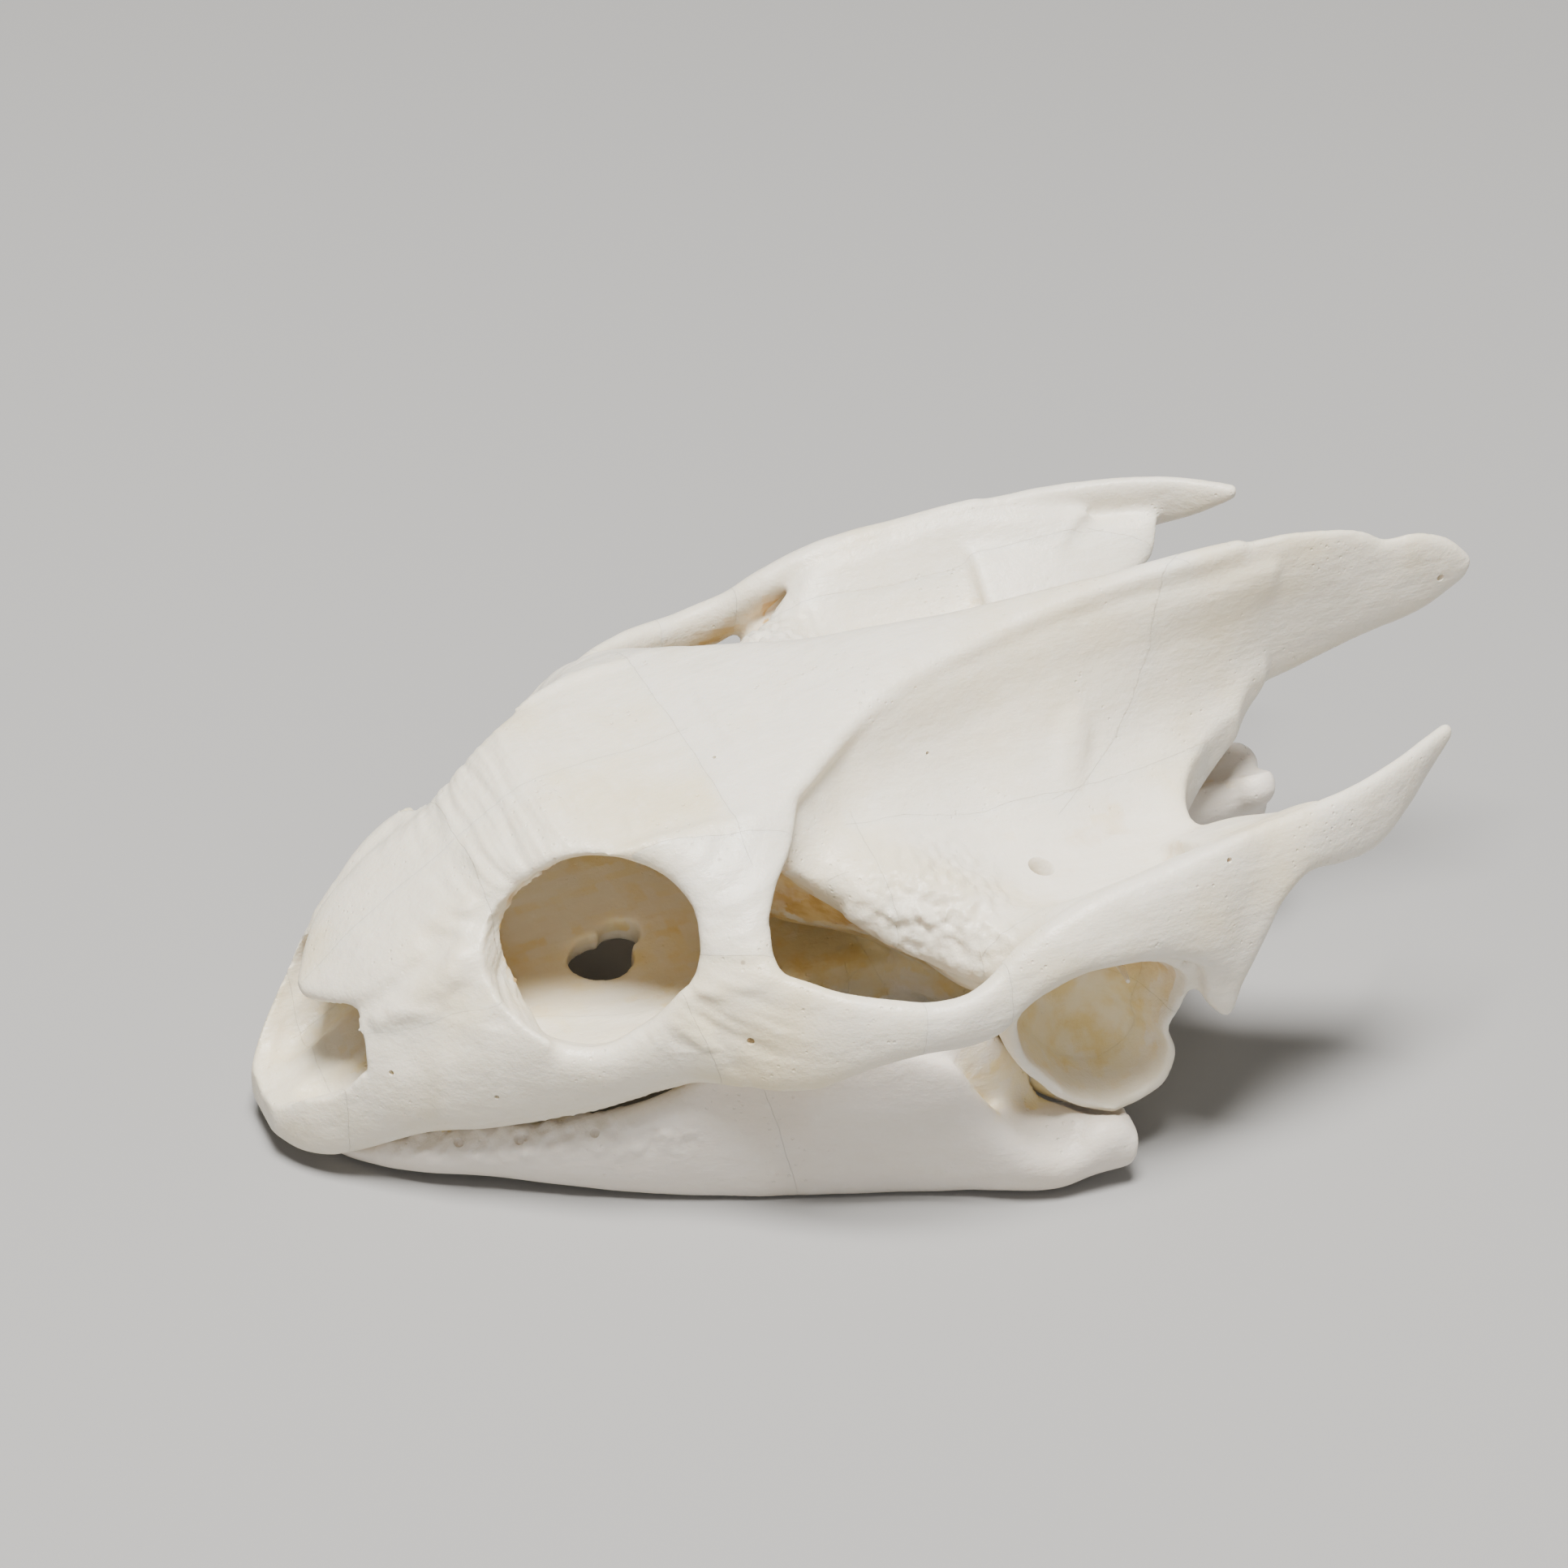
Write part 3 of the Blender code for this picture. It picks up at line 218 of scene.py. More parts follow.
# Cheek below the orbit, bar behind it, flange of the otic and folds of the skull roof (x, half width, z[, radius])
CHEEK_TOP = [
    (10, 9.6, 12.6), (13.4, 11.4, 14.6), (16.5, 13.8, 14.2), (19.5, 15.6, 14.2), (22.6, 16.4, 16.2),
    (25.0, 16.6, 18.8),
]
CHEEK_LOW = [
    (10, 9.9, 5.7), (14, 11.8, 6.2), (18.1, 13.5, 7.1), (22.6, 15.4, 9.0), (25.6, 17.4, 11.2), (28.5, 20.0, 11.6),
]
BAR_FRONT = [
    (21.6, 9.0, 25.0), (24.8, 10.5, 24.6), (26.6, 13.0, 23.1), (26.6, 15.2, 20.9), (25.6, 16.2, 18.5),
    (24.2, 16.4, 17.3),
]
BAR_REAR = [
    (36.0, 9.8, 26.6), (34.5, 12.3, 25.2), (32.3, 15.0, 23.8), (31.0, 17.0, 22.2), (30.8, 18.6, 20.8),
    (31.6, 20.4, 19.9),
]
TROCHLEAR = [
    (38.6, 13.2, 20.0, 1.3), (40.8, 15.2, 19.0, 1.5), (43.2, 17.2, 18.2, 1.5), (45.4, 19.6, 17.7, 1.5),
    (47.4, 21.4, 17.7, 1.5),
]
WING_EDGE = [(62, 21.5, 23.4), (68, 20.8, 23.7), (73, 19.9, 23.8), (77, 18.7, 24.2)]
WING_ROOT = [(62, 13.0, 17.4), (66.5, 12.4, 18.1), (71.0, 14.6, 19.2), (76.0, 17.2, 21.2)]
CREST_FOLD = [
    (61.8, 0.4, 26.0, 1.8), (59.4, 1.4, 24.0, 2.6), (58.4, 3.0, 22.2, 2.8), (57.4, 5.0, 20.0, 2.7),
    (56.8, 7.2, 17.9, 2.4), (56.6, 10.4, 16.6, 1.7),
]
SNOUT_EDGE = [(7.0, 5.9, 12.4, 1.3), (9.5, 6.7, 14.5, 1.6), (12.4, 7.5, 16.7, 1.7), (15.0, 8.0, 18.6, 1.4)]
PTERYGOID = [(44.6, 8.6, 10.0, 1.9), (48, 11.6, 9.8, 2.3), (53, 17, 8.8, 2.4), (55.4, 20.4, 8.0, 2.2)]
QUADRATE_KNOB = [(50.4, 18.4, 7.0, 2.0), (53.2, 21.0, 6.6, 2.2), (55.6, 23.2, 6.6, 2.0)]
FRONTAL_LEDGE = [
    (14, 5.0, 17.6, 0.9), (18, 4.6, 20.6, 0.9), (24, 5.2, 23.4, 1.0), (31, 7.4, 24.2, 1.2), (36, 8.2, 23.6, 1.4),
]

# Neck of the condyle, and hollows: brain opening at the back, broken edge of the near nostril (x, y, z, radius)
CONDYLE_NECK = [(60, 0, 12.4, 3.8), (68, 0, 12.2, 3.2), (73, 0, 11.6, 2.6), (76.2, 0, 11.3, 2.1)]
FORAMEN_MAGNUM = [(60, 0, 15.6, 2.4), (66, 0, 15.8, 2.6), (71, 0, 16.0, 2.7), (80, 0, 16.2, 2.8)]
NOSTRIL_BREAK_LOW = [(0.2, -1.2, 7.1, 2.0), (2.0, -3.7, 8.0, 1.9), (3.9, -5.3, 9.2, 1.8), (5.0, -6.0, 10.6, 1.5)]
NOSTRIL_BREAK_HIGH = [(0.8, -1.0, 9.4, 2.0), (3.0, -3.8, 9.8, 2.1), (4.9, -5.6, 10.4, 1.6), (6.0, -6.6, 10.8, 1.4)]

# Thickness along the crest, arch and horn, and of the orbit's cutter (mm)
CREST_THICKNESS = [4.2, 3.4, 2.4, 1.7, 1.6, 1.6, 1.4]
ARCH_THICKNESS = [2.6, 2.4, 2.2, 2.2, 2.2, 2.4, 2.4, 2.4, 2.2]
HORN_THICKNESS = [2.4, 2.2, 2.0, 1.7, 1.4, 1.1]
ORBIT_THICKNESS = [8.0, 11.5, 12.0, 11.0, 8.0]

# Ear cup from its rim inward: share of the rim's size, depth (mm)
EAR_CUP_STEPS = [(1.0, 0.6), (1.02, 2.0), (0.98, 4.0), (0.86, 7.0), (0.6, 10.5), (0.3, 13.0)]
EAR_HOLLOW_STEPS = [(0.93, -3.0), (0.9, 0.4), (0.84, 2.4), (0.7, 4.6), (0.42, 6.2), (0.1, 6.8)]

# Grooves: above the mouth line, and the floor of the nostril (x, half width, z, radius)
LIP_GROOVE = [
    (7, 9.0, 3.4, 0.9), (13, 13.1, 5.9, 1.4), (18, 15.3, 7.5, 1.5), (23, 17.5, 9.5, 1.3), (26.5, 19.7, 11.0, 0.7),
]
NOSTRIL_FLOOR = [(1.9, 1.8, 5.4, 0.9), (3.4, 2.7, 6.3, 1.6), (5.2, 3.4, 7.6, 1.9), (7.5, 3.8, 9.0, 1.9)]

# Joint end of the lower jaw, and the stapes in the ear cup (x, half width, z, radius)
JAW_JOINT_END = [
    (45.6, 22.0, 5.4, 1.6), (48.6, 22.4, 3.6, 2.2), (51.6, 22.6, 3.2, 2.5), (54.2, 23.2, 3.2, 2.2),
    (55.6, 23.7, 3.0, 1.8),
]
STAPES = [(56.6, 17.6, 14.0, 0.34), (56.1, 20.0, 14.7, 0.26), (55.7, 21.6, 15.2, 0.2), (55.3, 22.8, 15.6, 0.14)]


def curve(points, count):
    """Points spaced evenly along a smooth line through the given ones."""
    p = np.array(points, float)
    span = np.linalg.norm(np.diff(p[:, :3], axis=0), axis=1) if p.shape[1] > 2 else np.hypot(*np.diff(p, axis=0).T)
    t = np.concatenate([[0.0], np.cumsum(span)])
    tangent = np.gradient(p, t, axis=0)
    s = np.linspace(0, t[-1], count)
    i = np.clip(np.searchsorted(t, s, side="right") - 1, 0, len(p) - 2)
    h = (t[i + 1] - t[i])[:, None]
    u = (s - t[i])[:, None] / h
    a, b = p[i], p[i + 1]
    rise = (u**3 - 2 * u**2 + u) * h * tangent[i] + (u**3 - u**2) * h * tangent[i + 1]
    return (2 * u**3 - 3 * u**2 + 1) * a + (3 * u**2 - 2 * u**3) * b + rise


def skin(name, rings):
    """Closed body through a row of rings, with a face over each end."""
    bm = bmesh.new()
    rows = [[bm.verts.new(p) for p in ring] for ring in rings]
    count = len(rows[0])
    for a, b in zip(rows, rows[1:]):
        for k in range(count):
            n = (k + 1) % count
            bm.faces.new((a[k], a[n], b[n], b[k]))
    for ring in (rows[0], rows[-1]):
        middle = bm.verts.new(sum((v.co for v in ring), Vector()) / count)
        for k in range(count):
            bm.faces.new((ring[k], ring[(k + 1) % count], middle))
    bmesh.ops.recalc_face_normals(bm, faces=bm.faces)
    mesh = bpy.data.meshes.new(name)
    bm.to_mesh(mesh)
    bm.free()
    obj = bpy.data.objects.new(name, mesh)
    bpy.context.scene.collection.objects.link(obj)
    return obj


def blade(name, edge_a, edge_b, thickness, power=2.4, steps=60, around=28):
    """Flat bone between two edges, rounded along both."""
    a, b = curve(edge_a, steps), curve(edge_b, steps)
    centre, arm = (a + b) / 2, (a - b) / 2
    side = np.cross(np.gradient(centre, axis=0), arm)
    side /= np.linalg.norm(side, axis=1)[:, None]
    thick = np.interp(np.linspace(0, 1, steps), np.linspace(0, 1, len(thickness)), thickness) / 2
    phi = np.arange(around) * 2 * math.pi / around
    c = np.sign(np.cos(phi)) * np.abs(np.cos(phi)) ** (2 / power)
    s = np.sign(np.sin(phi)) * np.abs(np.sin(phi)) ** (2 / power)
    flat = arm[:, None] * c[None, :, None]
    out = (side * thick[:, None])[:, None] * s[None, :, None]
    return skin(name, centre[:, None] + flat + out)


def tube(name, points, steps=36, around=24):
    """Round bar along a line of (x, y, z, radius)."""
    p = curve(points, steps)
    along = np.gradient(p[:, :3], axis=0)
    along /= np.linalg.norm(along, axis=1)[:, None]
    up = np.array([0, 0, 1.0]) if abs(along[:, 2]).mean() < 0.8 else np.array([1.0, 0, 0])
    n1 = np.cross(along, up)
    n1 /= np.linalg.norm(n1, axis=1)[:, None]
    n2 = np.cross(along, n1)
    phi = np.arange(around) * 2 * math.pi / around
    ring = n1[:, None] * np.cos(phi)[None, :, None] + n2[:, None] * np.sin(phi)[None, :, None]
    return skin(name, p[:, None, :3] + p[:, 3, None, None] * ring)


def hull(name, sections, along=60, per=8):
    """Body with the same shape on both sides, from half sections."""
    rows = np.array([[[x, w, z] for w, z in half] for x, half in sections], float)
    fine = np.stack([curve(rows[:, k], along) for k in range(rows.shape[1])], 1)
    rings = []
    for row in fine:
        half = curve(row, per * (rows.shape[1] - 1) + 1)
        half[[0, -1], 1] = 0
        rings.append(np.concatenate([half, half[1:-1][::-1] * [1, -1, 1]]))
    return skin(name, rings)


def funnel(name, rim, centre, steps, side):
    """Cup behind a closed rim: steps are (scale of the rim, shift inward)."""
    p = np.array(rim + rim[:1], float)
    p = curve(np.concatenate([p[-3:-1], p, p[1:3]]), 240)[28:-28]
    c = np.array(centre, float)
    rings = []
    for scale, shift in steps:
        ring = c + (p - c) * scale
        ring[:, 1] = c[1] + (p[:, 1] - c[1]) * scale - shift
        rings.append(ring * [1, side, 1])
    return skin(name, rings)


def ball(name, centre, radii):
    """Ellipsoid."""
    bpy.ops.mesh.primitive_uv_sphere_add(segments=40, ring_count=20, radius=1)
    obj = bpy.context.object
    obj.name = name
    obj.data.transform(Matrix.Translation(centre) @ Matrix.Diagonal((*radii, 1)))
    return obj


def post(name, centre, radii, height):
    """Upright elliptic bar, for rounded notches and windows."""
    bpy.ops.mesh.primitive_cylinder_add(vertices=64, radius=1, depth=1)
    obj = bpy.context.object
    obj.name = name
    obj.data.transform(Matrix.Translation(centre) @ Matrix.Diagonal((*radii, height, 1)))
    return obj


def sheet(name, a, b, c, d, thickness=SEAM, wander=0.12, past=0.55):
    """Thin cutter over four corners. Between bones it wanders a little, as a suture does, and runs past its ends."""
    a, b, c, d = [np.array(v, float) for v in (a, b, c, d)]
    if thickness == SEAM:
        ab, dc, ad, bc = [(q - p) / np.linalg.norm(q - p) * past for p, q in ((a, b), (d, c), (a, d), (b, c))]
        a, b, c, d = a - ab - ad, b + ab - bc, c + dc + bc, d - dc + ad
    out = np.cross(c - a, d - b)
    out /= np.linalg.norm(out)
    steps = 40 if thickness == SEAM else 1
    u = np.linspace(0, 1, steps + 1)[:, None, None]
    v = np.linspace(0, 1, steps + 1)[None, :, None]
    grid = (1 - u) * ((1 - v) * a + v * d) + u * ((1 - v) * b + v * c)
    if thickness == SEAM:
        sway = [
            noise.noise(Vector(p) * 0.33) * wander * 1.5 + noise.noise(Vector(p) * 1.3) * wander * 0.6
            for p in grid.reshape(-1, 3)
        ]
        grid = grid + np.array(sway).reshape(steps + 1, steps + 1, 1) * out
    n = steps + 1
    points = np.concatenate([(grid - out * thickness / 2).reshape(-1, 3), (grid + out * thickness / 2).reshape(-1, 3)])
    faces = []
    for i in range(steps):
        for j in range(steps):
            k = i * n + j
            faces.append((k, k + 1, k + n + 1, k + n))
            faces.append((k + n * n, k + n + n * n, k + n + 1 + n * n, k + 1 + n * n))
    rim = [(i * n, (i + 1) * n) for i in range(steps)] + [(steps * n + j, steps * n + j + 1) for j in range(steps)]
    rim += [((i + 1) * n + steps, i * n + steps) for i in range(steps)] + [(j + 1, j) for j in range(steps)]
    faces += [(p, q, q + n * n, p + n * n) for p, q in rim]
    mesh = bpy.data.meshes.new(name)
    mesh.from_pydata(points.tolist(), [], faces)
    obj = bpy.data.objects.new(name, mesh)
    bpy.context.scene.collection.objects.link(obj)
    bm = bmesh.new()
    bm.from_mesh(mesh)
    bmesh.ops.recalc_face_normals(bm, faces=bm.faces)
    bm.to_mesh(mesh)
    bm.free()
    return obj


def side_points(points, side):
    return [(x, side * w, *rest) for x, w, *rest in points]


def join(name, objs):
    bm = bmesh.new()
    for o in objs:
        bm.from_mesh(o.data)
    mesh = bpy.data.meshes.new(name)
    bm.to_mesh(mesh)
    bm.free()
    for o in objs:
        bpy.data.objects.remove(o)
    obj = bpy.data.objects.new(name, mesh)
    bpy.context.scene.collection.objects.link(obj)
    return obj


def applied(obj):
    graph = bpy.context.evaluated_depsgraph_get()
    mesh = bpy.data.meshes.new_from_object(obj.evaluated_get(graph))
    obj.modifiers.clear()
    obj.data = mesh
    return obj


def grown(obj, voxel=VOXEL):
    """One closed surface around everything in the object."""
    m = obj.modifiers.new("surface", "REMESH")
    m.mode = "VOXEL"
    m.voxel_size = voxel
    return applied(obj)


def softened(obj, rounds, factor=0.5):
    m = obj.modifiers.new("soft", "SMOOTH")
    m.factor = factor
    m.iterations = rounds
    return applied(obj)


def carved(obj, cutters):
    for cutter in cutters:
        m = obj.modifiers.new("cut", "BOOLEAN")
        m.operation = "DIFFERENCE"
        m.solver = "MANIFOLD"
        m.object = cutter
        applied(obj)
        bpy.data.objects.remove(cutter)
    return obj


def skull_body():
    """The whole cranium in one piece."""
    mass = [hull("ear_and_brain", OTIC_SECTIONS, along=80)]
    ear = grown(join("ear_and_brain", mass))
    carved(ear, [post("notch", (74.4, s * 11.4, 24), (8.3, 8.6), 30) for s in (-1, 1)])
    carved(ear, [post("notch", (76.2, s * 9.6, 24), (4.7, 8.3), 30) for s in (-1, 1)])

    parts = [ear]
    left_edge, right_edge = side_points(ROOF_EDGE, -1), side_points(ROOF_EDGE, 1)
    parts.append(blade("roof", right_edge, left_edge, ROOF_THICKNESS, power=2.6, steps=90, around=48))
    parts.append(hull("snout", SNOUT_SECTIONS))
    parts.append(hull("palate", PALATE_SECTIONS))
    parts.append(blade("crest", CREST_TOP, CREST_LOW, CREST_THICKNESS, steps=80))
    parts.append(tube("condyle_neck", CONDYLE_NECK))
    for y, z, size in ((-1.4, 12.7, 1.8), (1.4, 12.7, 1.8), (0, 10.2, 2.0)):
        parts.append(ball("condyle", (75.9, y, z), (size, size, size)))
    for s in (-1, 1):
        parts.append(blade("cheek", side_points(CHEEK_TOP, s), side_points(CHEEK_LOW, s), [2.8, 3.2, 3.2, 3.0, 2.6]))
        parts.append(blade("bar", side_points(BAR_FRONT, s), side_points(BAR_REAR, s), [2.4, 2.4, 2.2, 2.2, 2.4]))
        parts.append(blade("arch", side_points(ARCH_TOP, s), side_points(ARCH_LOW, s), ARCH_THICKNESS, steps=90))
        parts.append(blade("horn", side_points(HORN_TOP, s), side_points(HORN_LOW, s), HORN_THICKNESS, steps=80))
        parts.append(funnel("ear_cup", EAR_RIM, EAR_CENTRE, EAR_CUP_STEPS, s))
        parts.append(tube("jaw_joint", side_points(QUADRATE_KNOB, s)))
        parts.append(tube("trochlear", side_points(TROCHLEAR, s)))
        parts.append(blade("wing", side_points(WING_EDGE, s), side_points(WING_ROOT, s), [3.0, 2.6, 2.0, 1.4]))
        parts.append(tube("fold", side_points(CREST_FOLD, s)))
        parts.append(tube("snout_edge", side_points(SNOUT_EDGE, s)))
        parts.append(tube("pterygoid", side_points(PTERYGOID, s)))
        parts.append(tube("frontal_ledge", side_points(FRONTAL_LEDGE, s)))
    body = softened(grown(join("cranium", parts)), MASS_ROUNDS)

    holes = [hull("nose_to_orbits", HOLLOW_SECTIONS)]
    holes.append(tube("brain_hollow", [(31, 0, 19.6, 2.8), (36, 0, 19.0, 2.8), (39.5, 0, 18.6, 1.6)]))
    holes.append(tube("choana", [(24.3, -2.4, 6.0, 2.2), (24.4, -2.5, 10.0, 2.3), (24.6, -2.6, 14.0, 2.3)]))
    holes.append(tube("choana", [(26.3, -0.8, 6.0, 1.4), (26.4, -0.8, 10.0, 1.5), (26.5, -0.9, 14.0, 1.5)]))
    holes.append(tube("near_nostril", NOSTRIL_BREAK_LOW))
    holes.append(tube("near_nostril", NOSTRIL_BREAK_HIGH))
    holes.append(tube("foramen_magnum", FORAMEN_MAGNUM))
    for s in (-1, 1):
        holes.append(blade("orbit", side_points(ORBIT_TOP, s), side_points(ORBIT_LOW, s), ORBIT_THICKNESS, power=2.2,
                           steps=40, around=32))
        holes.append(funnel("ear_hollow", EAR_RIM, EAR_CENTRE, EAR_HOLLOW_STEPS, s))
        holes.append(tube("lip_groove", side_points(LIP_GROOVE, s)))
        holes.append(ball("orbit_corner", (17.4, s * 10.4, 17.4), (2.9, 4.2, 2.9)))
        holes.append(tube("nostril_floor", side_points(NOSTRIL_FLOOR, s)))
        holes.append(tube("ear_notch", side_points([(60.2, 19, 10.8, 1.4), (60.2, 30, 10.8, 1.5)], s), steps=4))
    carved(body, holes)
    return softened(grown(body), SKIN_ROUNDS)


def swollen(obj, amount):
    """Copy of a body with its surface moved out."""
    other = obj.copy()
    other.data = obj.data.copy()
    bpy.context.scene.collection.objects.link(other)
    m = other.modifiers.new("out", "DISPLACE")
    m.strength = amount
    m.mid_level = 0
    return grown(applied(other))


def jaw_body(above):
    """The whole lower jaw in one piece, clear of the cranium above it."""
    parts = []
    for s in (-1, 1):
        parts.append(blade("ramus", side_points(JAW_TOP, s), side_points(JAW_LOW, s), JAW_THICKNESS, steps=90))
        parts.append(blade("inner_wall", side_points(JAW_WALL_TOP, s), side_points(JAW_WALL_LOW, s), [1.6, 1.8, 1.8,
                           1.6]))
        parts.append(tube("articular", side_points(JAW_JOINT_END, s)))
    jaw = softened(grown(join("jaw", parts)), MASS_ROUNDS)
    carved(jaw, [swollen(above, GAP + 0.1)])
    jaw = softened(grown(jaw), SKIN_ROUNDS)
    return carved(jaw, [sheet("floor", (0, -30, -1), (70, -30, -1), (70, 30, -1), (0, 30, -1), 2 + 2 * REST_FLAT)])


def skull_seams():
    """Thin cutters along the seams between the bones of the cranium."""
    seams = [
        sheet("seam", (4.3, -9, -1), (4.3, 9, -1), (4.3, 9, 9.4), (4.3, -9, 9.4)),
        sheet("seam", (-1, 0, 8.0), (31.1, 0, 14), (31.1, 0, 33), (-1, 0, 33)),
        sheet("seam", (15.2, -9, 16), (15.2, 9, 16), (14.2, 9, 30), (14.2, -9, 30)),
        sheet("seam", (31, -13, 18), (31, 13, 18), (31, 13, 32), (31, -13, 32)),
        sheet("seam", (44.8, -17, 4), (44.8, 17, 4), (40.9, 17, 14.5), (40.9, -17, 14.5)),
        sheet("seam", (32, -10.0, 14.5), (32, 10.0, 14.5), (58.1, 7.7, 14.5), (58.1, -7.7, 14.5)),
        sheet("seam", (58.0, -8.1, 14.5), (58.0, 8.1, 14.5), (72, 3.6, 14.5), (72, -3.6, 14.5)),
        sheet("seam", (71.9, -4, 14.5), (71.9, 4, 14.5), (80, 4, 14.5), (80, -4, 14.5)),
    ]
    for s in (-1, 1):
        seams += [
            sheet("seam", *side_points([(4.3, 3.8, -1), (17.1, 6.2, -1), (17.1, 6.2, 13.5), (4.3, 3.8, 8.4)], s)),
            sheet("seam", *side_points([(17.0, 6.1, -1), (29.0, 12.4, -1), (29.0, 12.4, 15.5), (17.0, 6.1, 15.5)], s)),
            sheet("seam", *side_points([(4.8, 12, 13.0), (18.0, 15, 18.8), (18.0, 3.8, 16.6), (4.8, 0.6, 10.6)], s)),
            sheet("seam", *side_points([(20.5, 9.3, 15), (38, 12.7, 15), (38, 12.7, 31), (20.5, 9.3, 31)], s)),
            sheet(
                "seam",
                *side_points([(23.6, 11.4, 18.4), (34, 17.4, 18.4), (34, 22.6, 23.6), (23.6, 18.8, 23.6)], s),
            ),
            sheet("seam", *side_points([(24.2, 11.5, 20.2), (24.2, 22.5, 20.2), (27.8, 24, 9.0), (27.8, 13, 9.0)], s)),
            sheet("seam", *side_points([(38.4, 19, 10), (38.4, 29, 10), (39.4, 29, 24), (39.4, 19, 24)], s)),
            sheet("seam", *side_points([(45.0, 20.9, 8), (45.0, 29, 8), (45.0, 29, 26), (45.0, 20.9, 26)], s)),
            sheet("seam", *side_points([(43.6, 20.8, 0), (72, 18.6, 0), (72, 18.6, 31), (43.6, 20.8, 31)], s)),
            sheet("seam", *side_points([(71.8, 18.7, 8), (79, 15.6, 8), (79, 15.6, 31), (71.8, 18.7, 31)], s)),
            sheet(
                "seam",
                *side_points([(44.6, 18.8, 17.0), (44.6, 29, 17.0), (60.8, 29, 11.7), (60.8, 18.8, 11.7)], s),
            ),
            sheet("seam", *side_points([(40.3, 9.2, 2), (58.2, 7.6, 2), (58.2, 7.6, 27), (40.3, 9.2, 27)], s)),
            sheet("seam", *side_points([(40.5, 8.9, 8), (40.5, 19, 8), (40.5, 19, 27), (40.5, 8.9, 27)], s)),
            sheet(
                "seam",
                *side_points([(32.2, 6.8, 15.1), (32.2, 13.9, 12.8), (40.9, 13.9, 12.8), (40.9, 6.8, 15.1)], s),
            ),
            sheet("seam", *side_points([(56.5, 8.0, 2), (72.0, 3.4, 2), (72.0, 3.4, 25), (56.5, 8.0, 25)], s)),
            sheet("seam", *side_points([(69.0, -0.4, 14.2), (56.6, 8.8, 14.2), (56.6, 8.8, 36), (69.0, -0.4, 36)], s)),
        ]
    return seams


def jaw_seams():
    seams = [sheet("seam", (-1, 0, -2), (14, 0, -2), (14, 0, 10), (-1, 0, 10))]
    for s in (-1, 1):
        seams.append(sheet("seam", *side_points([(33.5, 12, -2), (33.5, 28, -2), (27.8, 28, 18), (27.8, 12, 18)], s)))
    return seams


def loose_pieces(obj):
    """Separate closed surfaces of an object as (size, object), largest first."""
    for o in bpy.context.selected_objects:
        o.select_set(False)
    before = set(bpy.data.objects)
    obj.select_set(True)
    bpy.context.view_layer.objects.active = obj
    bpy.ops.mesh.separate(type="LOOSE")
    pieces = [o for o in bpy.data.objects if o not in before] + [obj]
    return sorted(pieces, key=lambda o: -len(o.data.vertices))


# A point inside each bone. Names ending in _left have a twin on the other side.
CRANIUM_BONES = [
    ("premaxilla", (2.4, 0.33, 3.0)), ("palate", (30, 0.37, 10.8)), ("parietal", (46, 0.41, 27)),
    ("supraoccipital_crest", (80, 0.13, 27)), ("basioccipital", (62, 0.39, 11.5)),
    ("maxilla_left", (14, -12, 9)), ("prefrontal_left", (9, -3, 17.0)), ("frontal_left", (22, -4, 26)),
    ("postorbital_left", (29.6, -13.6, 23.9)), ("jugal_left", (31, -20.4, 15.5)),
    ("quadratojugal_left", (42, -24.6, 17.5)), ("squamosal_left", (68, -22.4, 24)),
    ("quadrate_left", (53.6, -20.6, 5.8)), ("otic_left", (55, -14, 17)),
]
JAW_BONES = [("dentary_left", (20, -13.6, 2.5)), ("articular_left", (48, -23, 3))]


def encloses(obj, point):
    """True where a line straight up from the point leaves the body an odd number of times."""
    start = Vector(point)
    crossings = 0
    hit, near, normal, index = obj.ray_cast(start, (0, 0, 1))
    while hit:
        crossings += 1
        start = near + Vector((0, 0, 1e-4))
        hit, near, normal, index = obj.ray_cast(start, (0, 0, 1))
    return crossings % 2 == 1


# Camera of the photograph: where it stands (mm), its three directions and its lens
CAMERA_AT = Vector((-74.015, -258.060, 221.005))
CAMERA_TURN = Matrix((
    (0.92404937, 0.19776109, -0.32714418),
    (-0.38104096, 0.54515342, -0.74673659),
    (0.03066833, 0.81467681, 0.57910375),
))
FOCAL = 6063.62 / 1932

# Small openings for vessels and nerves: place in the photograph, radius and depth (mm)
PITS = [
    (1283, 1068, 0.95, 2.2), (925, 1283, 0.28, 0.8), (612, 1352, 0.18, 0.4), (482, 1322, 0.2, 0.5),
    (1143, 928, 0.14, 0.4), (880, 933, 0.13, 0.4), (1515, 1060, 0.2, 0.5), (1775, 712, 0.3, 0.5),
]
JAW_PITS = [
    (566, 1408, 0.34, 0.3), (640, 1405, 0.36, 0.3), (648, 1402, 0.26, 0.3), (733, 1396, 0.38, 0.3),
]
# Low lumps of the surface: place in the photograph, radius and height (mm)
LUMPS = [
    (572, 1150, 0.8, 0.30), (566, 1176, 0.9, 0.34), (556, 1200, 0.8, 0.28), (548, 1228, 0.8, 0.30),
    (530, 1245, 0.9, 0.26), (508, 1246, 0.8, 0.26), (486, 1247, 0.9, 0.26), (466, 1256, 0.7, 0.22),
    (575, 1120, 0.7, 0.22), (590, 1262, 1.2, 0.22), (500, 1298, 1.2, -0.18), (530, 1155, 0.9, -0.18),
    (884, 1262, 1.3, 0.22), (905, 1290, 1.2, 0.18), (1315, 640, 1.4, -0.2),
]

# Centre of the left orbit, from which the wrinkles spread, and the porous patch behind the cheek window (mm)
ORBIT_CENTRE = (20.5, 12.5, 20.5)
POROUS_AT = (44.2, 16.2, 20.6)
POROUS_REACH = (5.6, 5.6, 4.0)


